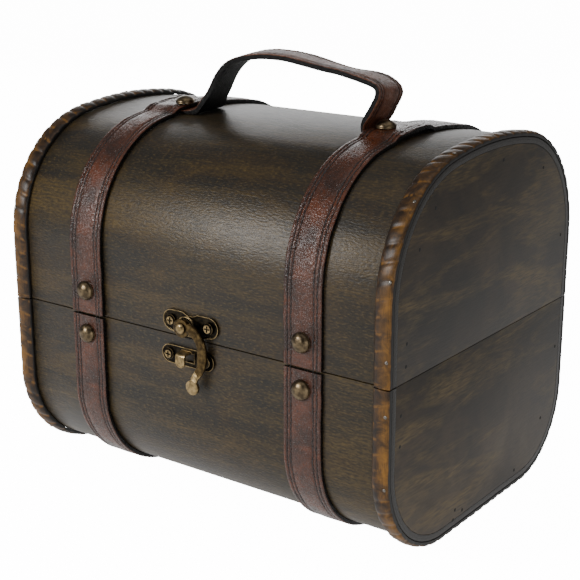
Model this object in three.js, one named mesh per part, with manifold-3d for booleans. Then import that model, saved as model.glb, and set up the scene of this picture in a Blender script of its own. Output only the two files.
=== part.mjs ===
// Domed wooden treasure chest with cane rims, leather bands, a strap handle and a swing-hook latch.
// Millimetres. X runs along the chest, the front faces -Y, +Z is up and z = 0 is the surface it stands on.
import * as THREE from 'three';
import { mergeVertices } from 'three/addons/utils/BufferGeometryUtils.js';
import Module from 'manifold-3d';

const wasm = await Module();
wasm.setup();

// Box
const chestLength = 220;
const shellDepth = 161;
const shellHeight = 174.8;
const seamHeight = 84.6;
const seamGap = 0.6;
const plyThickness = 3;
const endThickness = 6;
const topCornerRadius = 54.5;
const crownRadius = 211;
const frontBottomRadius = 46;
const rearBottomRadius = 38;

// Fits
const seat = 0.3;
const drillClearance = 0.3;
const pinClearance = 0.1;
const overrun = 1;

// Cane rims
const caneWidth = 10;
const caneCrown = 2.5;
const caneSide = 1.3;
const canePitch = 7.2;
const caneNotchDepth = 0.5;
const caneEndCrown = 1.8;
const caneWidthShares = [0, 0.2, 0.4, 0.6, 0.8, 1];

// Leather bands
const strapWidth = 20;
const strapThickness = 1.9;
const strapEdge = 0.6;
const strapSpacing = 127;
const fittingsOffset = 2.3;
const strapEndSetback = 0.4;

// Domed nails
const nailRadius = 4.7;
const nailDome = 3.5;
const nailRim = 0.5;
const nailShankRadius = 0.9;
const nailPoint = 1.6;
const nailBite = 2.2;
const lidNailRise = 12;
const baseNailDrop = 9.5;

// Strap handle
const handleWidth = 22;
const handleThickness = 2.6;
const flapThickness = 1.2;
const handleEdge = 0.6;
const handleRise = 30.7;
const handleForward = 10.5;
const handleTilt = 10.8;
const tiltRise = 12;
const handleEndMargin = 2;
const handleBend = 2.2;
const handleEdgeGap = 0.9;
const taperMargin = 1;
const taperStartShare = 0.9;
const humpRamp = 7;
const leftHandleNailInset = 3;
const rightHandleNailInset = 7.6;
const handleNailForward = 4.8;
// Line of the free strap between the bands: share of the gap between the bands, share of the rise.
const handleLineShares = [
  [0.099, 0.195],
  [0.121, 0.326],
  [0.138, 0.456],
  [0.153, 0.57],
  [0.174, 0.684],
  [0.202, 0.792],
  [0.24, 0.879],
  [0.296, 0.945],
  [0.376, 0.99],
  [0.46, 1],
  [0.553, 0.984],
  [0.65, 0.932],
  [0.759, 0.866],
  [0.834, 0.84],
  [0.914, 0.811],
  [0.966, 0.772],
  [1.011, 0.717],
  [1.038, 0.638],
  [1.036, 0.531],
  [1.022, 0.427],
  [1.011, 0.336],
  [0.999, 0.248],
  [0.988, 0.163],
];
// Twist of the strap about that line in degrees, at its foot, at each of those points and at the bend.
const handleTwists = [
  0, 8, 13, 14, 14, 14, 13, 12, 11, 9.5, 7, 5, 3.5, 1.5, 1.5, 5, 5, 2, -2, -4.5, -4.5, -4, -2, 0, 0,
];
const handleFootShare = 0.08;

// Latch plates and their screws
const plateThickness = 0.9;
const hookPlateEarSpacing = 23;
const hookPlateEarRadius = 5.6;
const hookPlateRise = 7.3;
const hookPlateOffset = 0.4;
const scallopWidth = 9;
const scallopDepth = 1.6;
const plateLobeDrop = 1.2;
const bossRadius = 4.1;
const bossFlare = 0.7;
const bossHeight = 1.5;
const catchPlateEarSpacing = 22.6;
const catchPlateEarRadius = 4.9;
const catchPlateDrop = 9.2;
const catchPlateOffset = -1.5;
const tongueWidth = 5.6;
const tongueThickness = 1;
const tongueLength = 7.4;
const tongueBend = 1.2;
const tongueOffset = -0.7;
const windowWidth = 8;
const windowHeight = 4.6;
const screwHeadRadius = 2.9;
const screwHeadHeight = 1.1;
const screwHeadRim = 0.4;
const screwShankRadius = 1.1;
const screwPoint = 1.5;
const screwBite = 2.2;
const screwSlotWidth = 0.8;
const screwSlotDepth = 0.6;
const screwSlotShare = 0.55;
const screwCrownShare = 0.7;

// Swing hook and its rivet
const hookThickness = 1.4;
const hookEdge = 0.35;
const hookClearance = 0.6;
const pivotOffset = -2.5;
const pivotRise = 5.5;
const hookHeadRadius = 4.4;
const hookReach = 11.7;
const hookDrop = 26.6;
const thumbRadius = 3.5;
const thumbStep = 1.5;
const rivetRadius = 1.3;
const rivetHeadRadius = 2.6;
const rivetHeadHeight = 1.3;
const rivetHeadRim = 0.3;
// Middle line of the hook arm from its pivot: share of the reach, share of the drop.
const hookLineShares = [
  [0, 0],
  [0.47, -0.006],
  [0.795, -0.109],
  [0.966, -0.256],
  [1, -0.436],
  [0.932, -0.639],
  [0.709, -0.812],
  [0.607, -1],
];
// Widths of the arm, evenly spaced along that line.
const hookWidths = [5.2, 5.2, 4.8, 5, 5, 4.4, 3.8, 3.6];
const thumbStartShare = 0.76;
const thumbEndShare = 0.92;

// Hinges
const hingeSpacing = 66;
const hingeLength = 18;
const leafHeight = 13;
const leafThickness = 1;
const knuckleRadius = 2.4;
const knuckleCount = 3;
const knuckleGap = 0.3;
const hingePinRadius = 1;
const pinHeadRadius = 1.8;
const pinHeadHeight = 0.9;
const pinHeadEase = 0.3;
const hingeScrewSpacing = 10;
const hingeScrewDrop = 8.4;

// Facets
const facetLength = 7;
const humpFacetLength = 3.6;
const curveFacets = 6;
const roundFacets = 12;
const drillFacets = 6;
const barrelFacets = 16;
const hookDiscFacets = 20;
const domeSteps = 3;
const handleSpanSteps = 2;
const handleBendSteps = 4;
const hookSteps = 24;

// Places worked out from the sizes above
const shellBottom = caneCrown + seat;
const seamZ = shellBottom + seamHeight;
const halfDepth = shellDepth / 2;
const halfLength = chestLength / 2;
const crownCentreZ = shellBottom + shellHeight - crownRadius;
const strapCentres = {
  left: fittingsOffset - strapSpacing / 2,
  right: fittingsOffset + strapSpacing / 2,
};
const strapTop = seat + strapThickness;
const flapSag = crownRadius - Math.sqrt(crownRadius ** 2 - (handleWidth / 2) ** 2);
const flapLift = flapThickness + seat + flapSag;
const plateFront = seat + plateThickness;
const hookBack = plateFront + bossHeight + seat;
const hookFront = hookBack + hookThickness;
const hingeAxisY = halfDepth + seat + knuckleRadius;
const pivotX = fittingsOffset + pivotOffset;
const pivotZ = seamZ + pivotRise;

const stainedPly = new THREE.MeshStandardMaterial({ color: 0x4b443b, roughness: 0.5, metalness: 0 });
const stainedBoard = new THREE.MeshStandardMaterial({ color: 0x3f3d39, roughness: 0.6, metalness: 0 });
const scorchedCane = new THREE.MeshStandardMaterial({ color: 0x8a5a2b, roughness: 0.35, metalness: 0 });
const oxbloodLeather = new THREE.MeshStandardMaterial({ color: 0x5e3b35, roughness: 0.45, metalness: 0 });
const antiqueBrass = new THREE.MeshStandardMaterial({ color: 0x8c7a52, roughness: 0.35, metalness: 1 });

// Cutting and joining

function withoutSlivers(geometry) {
  const index = geometry.index.array;
  const kept = [];
  for (let i = 0; i < index.length; i += 3) {
    const [a, b, c] = [index[i], index[i + 1], index[i + 2]];
    if (a !== b && b !== c && c !== a) kept.push(a, b, c);
  }
  geometry.setIndex(kept);
  return geometry;
}

function welded(geometry) {
  const bare = geometry.clone();
  bare.deleteAttribute('normal');
  bare.deleteAttribute('uv');
  return withoutSlivers(mergeVertices(bare));
}

function toSolid(geometry) {
  const merged = welded(geometry);
  const mesh = new wasm.Mesh({
    numProp: 3,
    vertProperties: new Float32Array(merged.attributes.position.array),
    triVerts: new Uint32Array(merged.index.array),
  });
  return new wasm.Manifold(mesh);
}

function toGeometry(solid) {
  const mesh = solid.getMesh();
  const geometry = new THREE.BufferGeometry();
  geometry.setAttribute('position', new THREE.Float32BufferAttribute(mesh.vertProperties, 3));
  geometry.setIndex(Array.from(mesh.triVerts));
  return geometry;
}

function cut(geometry, tools) {
  return toGeometry(tools.reduce((solid, tool) => solid.subtract(toSolid(tool)), toSolid(geometry)));
}

function join(geometries) {
  const [first, ...others] = geometries;
  return toGeometry(others.reduce((solid, other) => solid.add(toSolid(other)), toSolid(first)));
}

// Basic forms

// An outline in (y, z), run along X.
function alongX(shape, startX, length) {
  const geometry = new THREE.ExtrudeGeometry(shape, {
    depth: length,
    bevelEnabled: false,
    curveSegments: curveFacets,
  });
  const axes = new THREE.Matrix4().makeBasis(
    new THREE.Vector3(0, 1, 0),
    new THREE.Vector3(0, 0, 1),
    new THREE.Vector3(1, 0, 0),
  );
  return geometry.applyMatrix4(axes).translate(startX, 0, 0);
}

// An outline in (x, z) as a plate that lies back to back with y = 0 and faces -Y.
function facingFront(shape, thickness) {
  const geometry = new THREE.ExtrudeGeometry(shape, {
    depth: thickness,
    bevelEnabled: false,
    curveSegments: curveFacets,
  });
  return geometry.rotateX(Math.PI / 2);
}

// Pairs of radius and height, turned about the Y axis from the lowest pair to the highest.
function revolve(profile, facets = roundFacets) {
  const points = profile.map(([radius, height]) => new THREE.Vector2(radius, height));
  return welded(new THREE.LatheGeometry(points, facets));
}

function box(lowX, highX, lowY, highY, lowZ, highZ) {
  const geometry = new THREE.BoxGeometry(highX - lowX, highY - lowY, highZ - lowZ);
  return geometry.translate((lowX + highX) / 2, (lowY + highY) / 2, (lowZ + highZ) / 2);
}

// Rings of points, all alike in count and turning anticlockwise seen against the way they advance.
function loft(rings) {
  const count = rings[0].length;
  const last = (rings.length - 1) * count;
  const index = [];
  for (let ring = 0; ring < rings.length - 1; ring += 1) {
    for (let side = 0; side < count; side += 1) {
      const a = ring * count + side;
      const b = ring * count + ((side + 1) % count);
      index.push(a, b, a + count, b, b + count, a + count);
    }
  }
  for (let side = 1; side < count - 1; side += 1) {
    index.push(0, side + 1, side);
    index.push(last, last + side, last + side + 1);
  }
  const geometry = new THREE.BufferGeometry();
  const position = rings.flat().flatMap((point) => [point.x, point.y, point.z]);
  geometry.setAttribute('position', new THREE.Float32BufferAttribute(position, 3));
  geometry.setIndex(index);
  return geometry;
}

function addMesh(parent, name, geometry, material, x = 0, y = 0, z = 0) {
  const mesh = new THREE.Mesh(geometry, material);
  mesh.name = name;
  mesh.position.set(x, y, z);
  parent.add(mesh);
}

// Outline of the chest in (y, z), followed anticlockwise: straight walls and arcs that touch each other

function straight(from, to, normal) {
  const length = from.distanceTo(to);
  return { length, curved: false, at: (s) => ({ point: from.clone().lerp(to, s / length), normal }) };
}

function round(centre, radius, from, to) {
  const at = (s) => {
    const angle = from + s / radius;
    const normal = new THREE.Vector2(Math.cos(angle), Math.sin(angle));
    return { point: centre.clone().addScaledVector(normal, radius), normal };
  };
  return { length: radius * (to - from), radius, curved: true, at };
}

function rearToFrontOverTheTop() {
  const cornerY = halfDepth - topCornerRadius;
  const cornerRise = Math.sqrt((crownRadius - topCornerRadius) ** 2 - cornerY ** 2);
  const cornerZ = crownCentreZ + cornerRise;
  const crownAngle = Math.atan2(cornerRise, cornerY);
  const seamTop = seamZ + seamGap / 2;
  const rear = new THREE.Vector2(1, 0);
  const front = new THREE.Vector2(-1, 0);
  const rearCorner = new THREE.Vector2(cornerY, cornerZ);
  const frontCorner = new THREE.Vector2(-cornerY, cornerZ);
  const crownCentre = new THREE.Vector2(0, crownCentreZ);
  return [
    straight(new THREE.Vector2(halfDepth, seamTop), new THREE.Vector2(halfDepth, cornerZ), rear),
    round(rearCorner, topCornerRadius, 0, crownAngle),
    round(crownCentre, crownRadius, crownAngle, Math.PI - crownAngle),
    round(frontCorner, topCornerRadius, Math.PI - crownAngle, Math.PI),
    straight(new THREE.Vector2(-halfDepth, cornerZ), new THREE.Vector2(-halfDepth, seamTop), front),
  ];
}

function frontToRearUnderneath() {
  const seamBottom = seamZ - seamGap / 2;
  const front = new THREE.Vector2(-1, 0);
  const rear = new THREE.Vector2(1, 0);
  const down = new THREE.Vector2(0, -1);
  const frontCorner = new THREE.Vector2(-halfDepth + frontBottomRadius, shellBottom + frontBottomRadius);
  const rearCorner = new THREE.Vector2(halfDepth - rearBottomRadius, shellBottom + rearBottomRadius);
  const bottomFront = new THREE.Vector2(frontCorner.x, shellBottom);
  const bottomRear = new THREE.Vector2(rearCorner.x, shellBottom);
  return [
    straight(new THREE.Vector2(-halfDepth, seamBottom), new THREE.Vector2(-halfDepth, frontCorner.y), front),
    round(frontCorner, frontBottomRadius, Math.PI, 1.5 * Math.PI),
    straight(bottomFront, bottomRear, down),
    round(rearCorner, rearBottomRadius, 1.5 * Math.PI, 2 * Math.PI),
    straight(new THREE.Vector2(halfDepth, rearCorner.y), new THREE.Vector2(halfDepth, seamBottom), rear),
  ];
}

function makePath(pieces) {
  const length = pieces.reduce((sum, piece) => sum + piece.length, 0);
  const at = (s) => {
    let rest = s;
    for (const piece of pieces.slice(0, -1)) {
      if (rest <= piece.length) return piece.at(rest);
      rest -= piece.length;
    }
    return pieces.at(-1).at(rest);
  };
  return { pieces, length, at };
}

// Distances along a path where its facets meet, the ends drawn in by a setback.
function facetMarks(path, crownFacet = facetLength, setback = 0) {
  const marks = [setback];
  let start = 0;
  for (const piece of path.pieces) {
    const facet = piece.radius === crownRadius ? crownFacet : facetLength;
    const steps = piece.curved ? Math.ceil(piece.length / facet) : 1;
    for (let step = 1; step <= steps; step += 1) marks.push(start + (piece.length * step) / steps);
    start += piece.length;
  }
  marks[marks.length - 1] = path.length - setback;
  return marks;
}

const paths = { base: makePath(frontToRearUnderneath()), lid: makePath(rearToFrontOverTheTop()) };

function outline(half, offset) {
  return facetMarks(paths[half]).map((mark) => {
    const { point, normal } = paths[half].at(mark);
    return point.clone().addScaledVector(normal, offset);
  });
}

// A point at a distance off the outline, as it stands in space.
function standing(station, x, rise) {
  return new THREE.Vector3(
    x,
    station.point.x + station.normal.x * rise,
    station.point.y + station.normal.y * rise,
  );
}

// Drill holes into the upright walls: sign is -1 at the front and 1 at the rear

function wallDrill(sign, x, z, radius, outer, depth) {
  const length = outer + depth;
  const geometry = new THREE.CylinderGeometry(radius, radius, length, drillFacets);
  return geometry.translate(x, sign * (halfDepth + outer - length / 2), z);
}

// The frame of the handle: z = 0 at the centre of the crown arc, leaning forward to its seat.
const handleLean = Math.asin(handleForward / crownRadius);
const handleFrame = new THREE.Matrix4()
  .makeTranslation(0, 0, crownCentreZ)
  .multiply(new THREE.Matrix4().makeRotationX(handleLean));

function crownDrill(x, radius, low, high) {
  const geometry = new THREE.CylinderGeometry(radius, radius, high - low, drillFacets);
  return geometry.rotateX(Math.PI / 2).translate(x, -handleNailForward, crownRadius + (low + high) / 2);
}

// Where nails and screws go

const handleNails = {
  left: strapCentres.left + strapWidth / 2 - leftHandleNailInset,
  right: strapCentres.right - strapWidth / 2 + rightHandleNailInset,
};
const nailHeights = { base: seamZ - baseNailDrop, lid: seamZ + lidNailRise };
const walls = { front: -1, rear: 1 };
const hinges = {
  left: fittingsOffset - hingeSpacing / 2,
  right: fittingsOffset + hingeSpacing / 2,
};
const latchPlates = {
  base: {
    x: fittingsOffset + catchPlateOffset,
    z: seamZ - catchPlateDrop,
    spacing: catchPlateEarSpacing,
  },
  lid: {
    x: fittingsOffset + hookPlateOffset,
    z: seamZ + hookPlateRise,
    spacing: hookPlateEarSpacing,
  },
};
const sides = { left: -1, right: 1 };
const seamSide = { base: -1, lid: 1 };

function latchScrews(half) {
  const plate = latchPlates[half];
  return Object.entries(sides).map(([side, sign]) => ({
    side,
    x: plate.x + (sign * plate.spacing) / 2,
    z: plate.z,
  }));
}

function hingeScrews(half, hinge) {
  return Object.entries(sides).map(([side, sign]) => ({
    side,
    x: hinges[hinge] + (sign * hingeScrewSpacing) / 2,
    z: seamZ + seamSide[half] * hingeScrewDrop,
  }));
}

// Plywood shells and end boards

function shellTools(half) {
  const nailHole = nailShankRadius + drillClearance;
  const screwHole = screwShankRadius + drillClearance;
  const tools = [];
  for (const x of Object.values(strapCentres)) {
    for (const sign of Object.values(walls)) {
      tools.push(wallDrill(sign, x, nailHeights[half], nailHole, overrun, nailBite + drillClearance));
    }
  }
  for (const { x, z } of latchScrews(half)) {
    tools.push(wallDrill(walls.front, x, z, screwHole, overrun, screwBite + drillClearance));
  }
  for (const hinge of Object.keys(hinges)) {
    for (const { x, z } of hingeScrews(half, hinge)) {
      tools.push(wallDrill(walls.rear, x, z, screwHole, overrun, screwBite + drillClearance));
    }
  }
  if (half === 'lid') {
    for (const x of Object.values(handleNails)) {
      const drill = crownDrill(x, nailHole, -nailBite - drillClearance, overrun);
      tools.push(drill.applyMatrix4(handleFrame));
    }
  }
  return tools;
}

function shellGeometry(half) {
  const section = [...outline(half, 0), ...outline(half, -plyThickness).reverse()];
  return cut(alongX(new THREE.Shape(section), -halfLength, chestLength), shellTools(half));
}

function endBoardGeometry(half, side) {
  const startX = side === 'left' ? -halfLength : halfLength - endThickness;
  return alongX(new THREE.Shape(outline(half, -plyThickness - seat)), startX, endThickness);
}

// Cane rims: a half-round section with a flat middle facet, notched across at an even pitch except
// along the flat underside that the chest stands on

function caneSection(station, startX, crown) {
  const fullBulge = Math.max(...caneWidthShares.map((share) => Math.sin(Math.PI * share)));
  const top = caneWidthShares.map((share) => {
    const bulge = Math.sin(Math.PI * share) / fullBulge;
    return standing(station, startX + caneWidth * share, seat + caneSide + (crown - caneSide) * bulge);
  });
  return [standing(station, startX, seat), ...top, standing(station, startX + caneWidth, seat)].reverse();
}

function caneRings(half) {
  const rings = [];
  let start = 0;
  for (const piece of paths[half].pieces) {
    const isUnderside = half === 'base' && !piece.curved && piece.at(0).normal.y < 0;
    const count = isUnderside ? 1 : Math.max(1, Math.round(piece.length / canePitch));
    const pitch = piece.length / count;
    for (let lump = 0; lump < count && !isUnderside; lump += 1) {
      rings.push({ at: start + (lump + 0.5) * pitch, crown: caneCrown });
      if (lump < count - 1) rings.push({ at: start + (lump + 1) * pitch, crown: caneCrown - caneNotchDepth });
    }
    start += piece.length;
  }
  return rings;
}

function caneGeometry(half, side) {
  const path = paths[half];
  const startX = side === 'left' ? -halfLength : halfLength - caneWidth;
  const joints = path.pieces.slice(0, -1).map((piece, i) => ({
    at: path.pieces.slice(0, i + 1).reduce((sum, { length }) => sum + length, 0),
    crown: caneCrown,
  }));
  const ends = [0, path.length].map((at) => ({ at, crown: caneEndCrown }));
  const rings = [...caneRings(half), ...joints, ...ends].sort((a, b) => a.at - b.at);
  return loft(rings.map(({ at, crown }) => caneSection(path.at(at), startX, crown)));
}

// Leather bands: a flat section with eased outer edges, lifted where it crosses a handle end

function handleLift(station) {
  if (station.normal.y < 0.5) return 0;
  const beyond = Math.abs(station.point.x + handleForward) - handleWidth / 2 - seat;
  const share = Math.min(1, Math.max(0, beyond / humpRamp));
  return flapLift * 0.5 * (1 + Math.cos(Math.PI * share));
}

function strapSection(station, centre) {
  const left = centre - strapWidth / 2;
  const right = centre + strapWidth / 2;
  const inner = seat + handleLift(station);
  const outer = inner + strapThickness;
  return [
    standing(station, left, inner),
    standing(station, left, outer - strapEdge),
    standing(station, left + strapEdge, outer),
    standing(station, right - strapEdge, outer),
    standing(station, right, outer - strapEdge),
    standing(station, right, inner),
  ].reverse();
}

function strapGeometry(half, side) {
  const x = strapCentres[side];
  const hole = nailShankRadius + drillClearance;
  const marks = facetMarks(paths[half], humpFacetLength, strapEndSetback);
  const band = loft(marks.map((mark) => strapSection(paths[half].at(mark), x)));
  const tools = Object.values(walls).map((sign) => (
    wallDrill(sign, x, nailHeights[half], hole, strapTop + overrun, 0)
  ));
  if (half === 'lid') {
    const drill = crownDrill(handleNails[side], hole, flapLift, flapLift + strapTop + overrun);
    tools.push(drill.applyMatrix4(handleFrame));
  }
  return cut(band, tools);
}

// Domed nails: a cap on a short pointed shank, its cap standing on height 0

function domeProfile(radius, rim, height) {
  const profile = [[radius, 0]];
  for (let step = 0; step < domeSteps; step += 1) {
    const angle = (Math.PI / 2) * (step / domeSteps);
    profile.push([radius * Math.cos(angle), rim + (height - rim) * Math.sin(angle)]);
  }
  return [...profile, [0, height]];
}

function nailGeometry(underCap) {
  const tip = -underCap - nailBite;
  return revolve([
    [0, tip],
    [nailShankRadius, tip + nailPoint],
    [nailShankRadius, 0],
    ...domeProfile(nailRadius, nailRim, nailDome),
  ]);
}

// Cross-head screws: the head stands on height 0

function screwGeometry(underHead) {
  const tip = -underHead - screwBite;
  const screw = revolve([
    [0, tip],
    [screwShankRadius, tip + screwPoint],
    [screwShankRadius, 0],
    [screwHeadRadius, 0],
    [screwHeadRadius, screwHeadRim],
    [screwHeadRadius * screwCrownShare, screwHeadHeight],
    [0, screwHeadHeight],
  ]);
  const reach = screwHeadRadius * screwSlotShare;
  const half = screwSlotWidth / 2;
  const floor = screwHeadHeight - screwSlotDepth;
  const top = screwHeadHeight + overrun;
  return cut(screw, [
    box(-reach, reach, floor, top, -half, half),
    box(-half, half, floor, top, -reach, reach),
  ]);
}

// Strap handle: flat ends under the bands, an upright bent strap between them

function handleLine() {
  const low = crownRadius + seat + flapThickness / 2;
  const leftEdge = strapCentres.left + strapWidth / 2;
  const rightEdge = strapCentres.right - strapWidth / 2;
  const gap = rightEdge - leftEdge;
  const bendX = rightEdge - handleEdgeGap - flapThickness / 2 + handleBend;
  const leftEnd = strapCentres.left - strapWidth / 2 + handleEndMargin;
  const rightEnd = strapCentres.right + strapWidth / 2 - handleEndMargin;
  const taper = new THREE.Vector2(leftEdge + taperMargin, low);
  const foot = new THREE.Vector2(leftEdge + gap * handleFootShare, crownRadius + seat + handleThickness / 2);
  const knots = [
    foot,
    ...handleLineShares.map(([across, up]) => (
      new THREE.Vector2(leftEdge + gap * across, crownRadius + handleRise * up)
    )),
    new THREE.Vector2(bendX - handleBend, low + handleBend),
  ];
  const free = new THREE.SplineCurve(knots);
  const bend = new THREE.EllipseCurve(
    bendX,
    low + handleBend,
    handleBend,
    handleBend,
    Math.PI,
    1.5 * Math.PI,
    false,
    0,
  );
  const leftFlap = new THREE.LineCurve(new THREE.Vector2(leftEnd, low), taper);
  const leftTaper = new THREE.LineCurve(taper, foot);
  const rightFlap = new THREE.LineCurve(new THREE.Vector2(bendX, low), new THREE.Vector2(rightEnd, low));
  const thick = handleThickness;
  const thin = flapThickness;
  return [
    { curve: leftFlap, steps: 1, from: thin, to: thin },
    { curve: leftTaper, steps: 1, from: thin, to: thick },
    { curve: free, steps: handleSpanSteps * (knots.length - 1), from: thick, to: thin, twists: handleTwists },
    { curve: bend, steps: handleBendSteps, from: thin, to: thin },
    { curve: rightFlap, steps: 1, from: thin, to: thin },
  ];
}

function twistAt(twists, share) {
  if (!twists) return 0;
  const place = share * (twists.length - 1);
  const low = Math.min(Math.floor(place), twists.length - 2);
  return THREE.MathUtils.degToRad(THREE.MathUtils.lerp(twists[low], twists[low + 1], place - low));
}

// The free strap leans back as it rises off the crown, about the line where it stands.
function leaned(corner, rise) {
  const tilt = handleTilt * THREE.MathUtils.smoothstep(rise, 0, tiltRise);
  const foot = new THREE.Vector3(corner.x, 0, crownRadius);
  const axis = new THREE.Vector3(-1, 0, 0);
  return corner.sub(foot).applyAxisAngle(axis, THREE.MathUtils.degToRad(tilt)).add(foot);
}

function handleSection({ curve, from, to, twists }, share) {
  const point = curve.getPoint(share);
  const tangent = curve.getTangent(share);
  const twist = twistAt(twists, share);
  const half = handleWidth / 2;
  const taper = twists ? THREE.MathUtils.smoothstep(share, taperStartShare, 1) : share;
  const thick = THREE.MathUtils.lerp(from, to, taper) / 2;
  const edge = Math.min(handleEdge, thick);
  const corners = [
    [-half, -thick],
    [half, -thick],
    [half, thick - edge],
    [half - edge, thick],
    [-half + edge, thick],
    [-half, thick - edge],
  ];
  return corners.map(([across, out]) => {
    const side = across * Math.cos(twist) - out * Math.sin(twist);
    const rise = across * Math.sin(twist) + out * Math.cos(twist);
    const corner = new THREE.Vector3(point.x - tangent.y * rise, side, point.y + tangent.x * rise);
    return leaned(corner, point.y - crownRadius);
  });
}

function handleGeometry() {
  const line = handleLine();
  const rings = line.flatMap((stretch) => (
    Array.from({ length: stretch.steps }, (_, step) => handleSection(stretch, step / stretch.steps))
  ));
  rings.push(handleSection(line.at(-1), 1));
  const hole = nailShankRadius + drillClearance;
  const flap = seat + flapThickness;
  const tools = Object.values(handleNails).map((x) => crownDrill(x, hole, 0, flap + overrun));
  return cut(loft(rings), tools);
}

// Latch plates

function earedPlate(spacing, radius, scallop, drop) {
  const ear = spacing / 2;
  const shape = new THREE.Shape();
  shape.moveTo(-ear, -radius);
  shape.quadraticCurveTo(0, -radius - 2 * drop, ear, -radius);
  shape.absarc(ear, 0, radius, -Math.PI / 2, Math.PI / 2, false);
  if (scallop > 0) {
    shape.lineTo(scallopWidth / 2, radius);
    shape.quadraticCurveTo(0, radius - 2 * scallop, -scallopWidth / 2, radius);
  }
  shape.lineTo(-ear, radius);
  shape.absarc(-ear, 0, radius, Math.PI / 2, 1.5 * Math.PI, false);
  return shape;
}

function plateDrill(x, z, radius, outer) {
  const geometry = new THREE.CylinderGeometry(radius, radius, outer + 2 * overrun, barrelFacets);
  return geometry.translate(x, -outer / 2, z);
}

function hookPlateGeometry() {
  const plate = facingFront(
    earedPlate(hookPlateEarSpacing, hookPlateEarRadius, scallopDepth, plateLobeDrop),
    plateThickness,
  );
  const pivot = { x: pivotX - latchPlates.lid.x, z: pivotZ - latchPlates.lid.z };
  const bossBase = plateThickness / 2;
  const bossTop = plateThickness + bossHeight;
  const boss = revolve([
    [0, bossBase],
    [bossRadius + bossFlare, bossBase],
    [bossRadius + bossFlare, plateThickness],
    [bossRadius, plateThickness + bossFlare],
    [bossRadius, bossTop],
    [0, bossTop],
  ], barrelFacets);
  boss.rotateX(Math.PI).translate(pivot.x, 0, pivot.z);
  const screwHole = screwShankRadius + drillClearance;
  return cut(join([plate, boss]), [
    plateDrill(-hookPlateEarSpacing / 2, 0, screwHole, plateThickness),
    plateDrill(hookPlateEarSpacing / 2, 0, screwHole, plateThickness),
    plateDrill(pivot.x, pivot.z, rivetRadius + pinClearance, bossTop),
  ]);
}

// The catch tongue stands out of the plate on a short bar and turns down in front of the hook.
function tongueGeometry() {
  const reach = hookFront + hookClearance + tongueThickness - seat;
  const top = windowHeight / 2 + tongueThickness;
  const bottom = top - tongueLength + tongueWidth / 2;
  const inner = tongueBend;
  const outer = tongueBend + tongueThickness;
  const profile = new THREE.Shape();
  profile.moveTo(-plateThickness / 2, top);
  profile.lineTo(-reach + outer, top);
  profile.absarc(-reach + outer, top - outer, outer, Math.PI / 2, Math.PI, false);
  profile.lineTo(-reach, bottom);
  profile.lineTo(-reach + tongueThickness, bottom);
  profile.absarc(-reach + outer, top - outer, inner, Math.PI, Math.PI / 2, true);
  profile.lineTo(-plateThickness / 2, top - tongueThickness);
  const bar = alongX(profile, tongueOffset - tongueWidth / 2, tongueWidth);
  const tip = new THREE.CylinderGeometry(tongueWidth / 2, tongueWidth / 2, tongueThickness, barrelFacets);
  tip.translate(tongueOffset, -reach + tongueThickness / 2, bottom);
  return join([bar, tip]);
}

function catchPlateGeometry() {
  const shape = earedPlate(catchPlateEarSpacing, catchPlateEarRadius, 0, 0);
  const plate = facingFront(shape, plateThickness);
  const screwHole = screwShankRadius + drillClearance;
  const half = windowWidth / 2;
  const window = box(
    -half,
    half,
    -plateThickness - overrun,
    overrun,
    -windowHeight / 2,
    windowHeight / 2,
  );
  const pierced = cut(plate, [
    plateDrill(-catchPlateEarSpacing / 2, 0, screwHole, plateThickness),
    plateDrill(catchPlateEarSpacing / 2, 0, screwHole, plateThickness),
    window,
  ]);
  return join([pierced, tongueGeometry()]);
}

// Swing hook: a flat bent arm whose tip steps forward into a round thumb tab. Its pivot is the origin
// and its back lies at y = 0.

function hookWidthAt(share) {
  const place = share * (hookWidths.length - 1);
  const low = Math.min(Math.floor(place), hookWidths.length - 2);
  return THREE.MathUtils.lerp(hookWidths[low], hookWidths[low + 1], place - low);
}

function hookSection(point, tangent, width, forward) {
  const across = new THREE.Vector2(-tangent.y, tangent.x);
  const half = width / 2;
  const corners = [
    [-half, 0],
    [half, 0],
    [half, hookThickness - hookEdge],
    [half - hookEdge, hookThickness],
    [-half + hookEdge, hookThickness],
    [-half, hookThickness - hookEdge],
  ];
  return corners.map(([out, rise]) => (
    new THREE.Vector3(point.x + across.x * out, -forward - rise, point.y + across.y * out)
  ));
}

function hookGeometry() {
  const line = new THREE.SplineCurve(hookLineShares.map(([across, down]) => (
    new THREE.Vector2(across * hookReach, down * hookDrop)
  )));
  const rings = [];
  for (let step = 0; step <= hookSteps; step += 1) {
    const share = step / hookSteps;
    const forward = thumbStep * THREE.MathUtils.smoothstep(share, thumbStartShare, thumbEndShare);
    rings.push(hookSection(line.getPointAt(share), line.getTangentAt(share), hookWidthAt(share), forward));
  }
  const tip = line.getPointAt(1);
  const head = new THREE.CylinderGeometry(hookHeadRadius, hookHeadRadius, hookThickness, hookDiscFacets);
  head.translate(0, -hookThickness / 2, 0);
  const thumb = new THREE.CylinderGeometry(thumbRadius, thumbRadius, hookThickness, hookDiscFacets);
  thumb.translate(tip.x, -thumbStep - hookThickness / 2, tip.y);
  const blank = join([loft(rings), head, thumb]);
  return cut(blank, [plateDrill(0, 0, rivetRadius + pinClearance, hookThickness)]);
}

function rivetGeometry() {
  const shank = hookFront;
  const head = domeProfile(rivetHeadRadius, rivetHeadRim, rivetHeadHeight);
  return revolve([[0, -shank], [rivetRadius, -shank], [rivetRadius, 0], ...head]);
}

// Hinges: two leaves on the rear wall whose knuckles share one pin. Origin on the pin's axis.

function knuckleSpan(number) {
  const pitch = hingeLength / knuckleCount;
  const start = -hingeLength / 2 + number * pitch;
  return [start + knuckleGap / 2, start + pitch - knuckleGap / 2];
}

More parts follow.
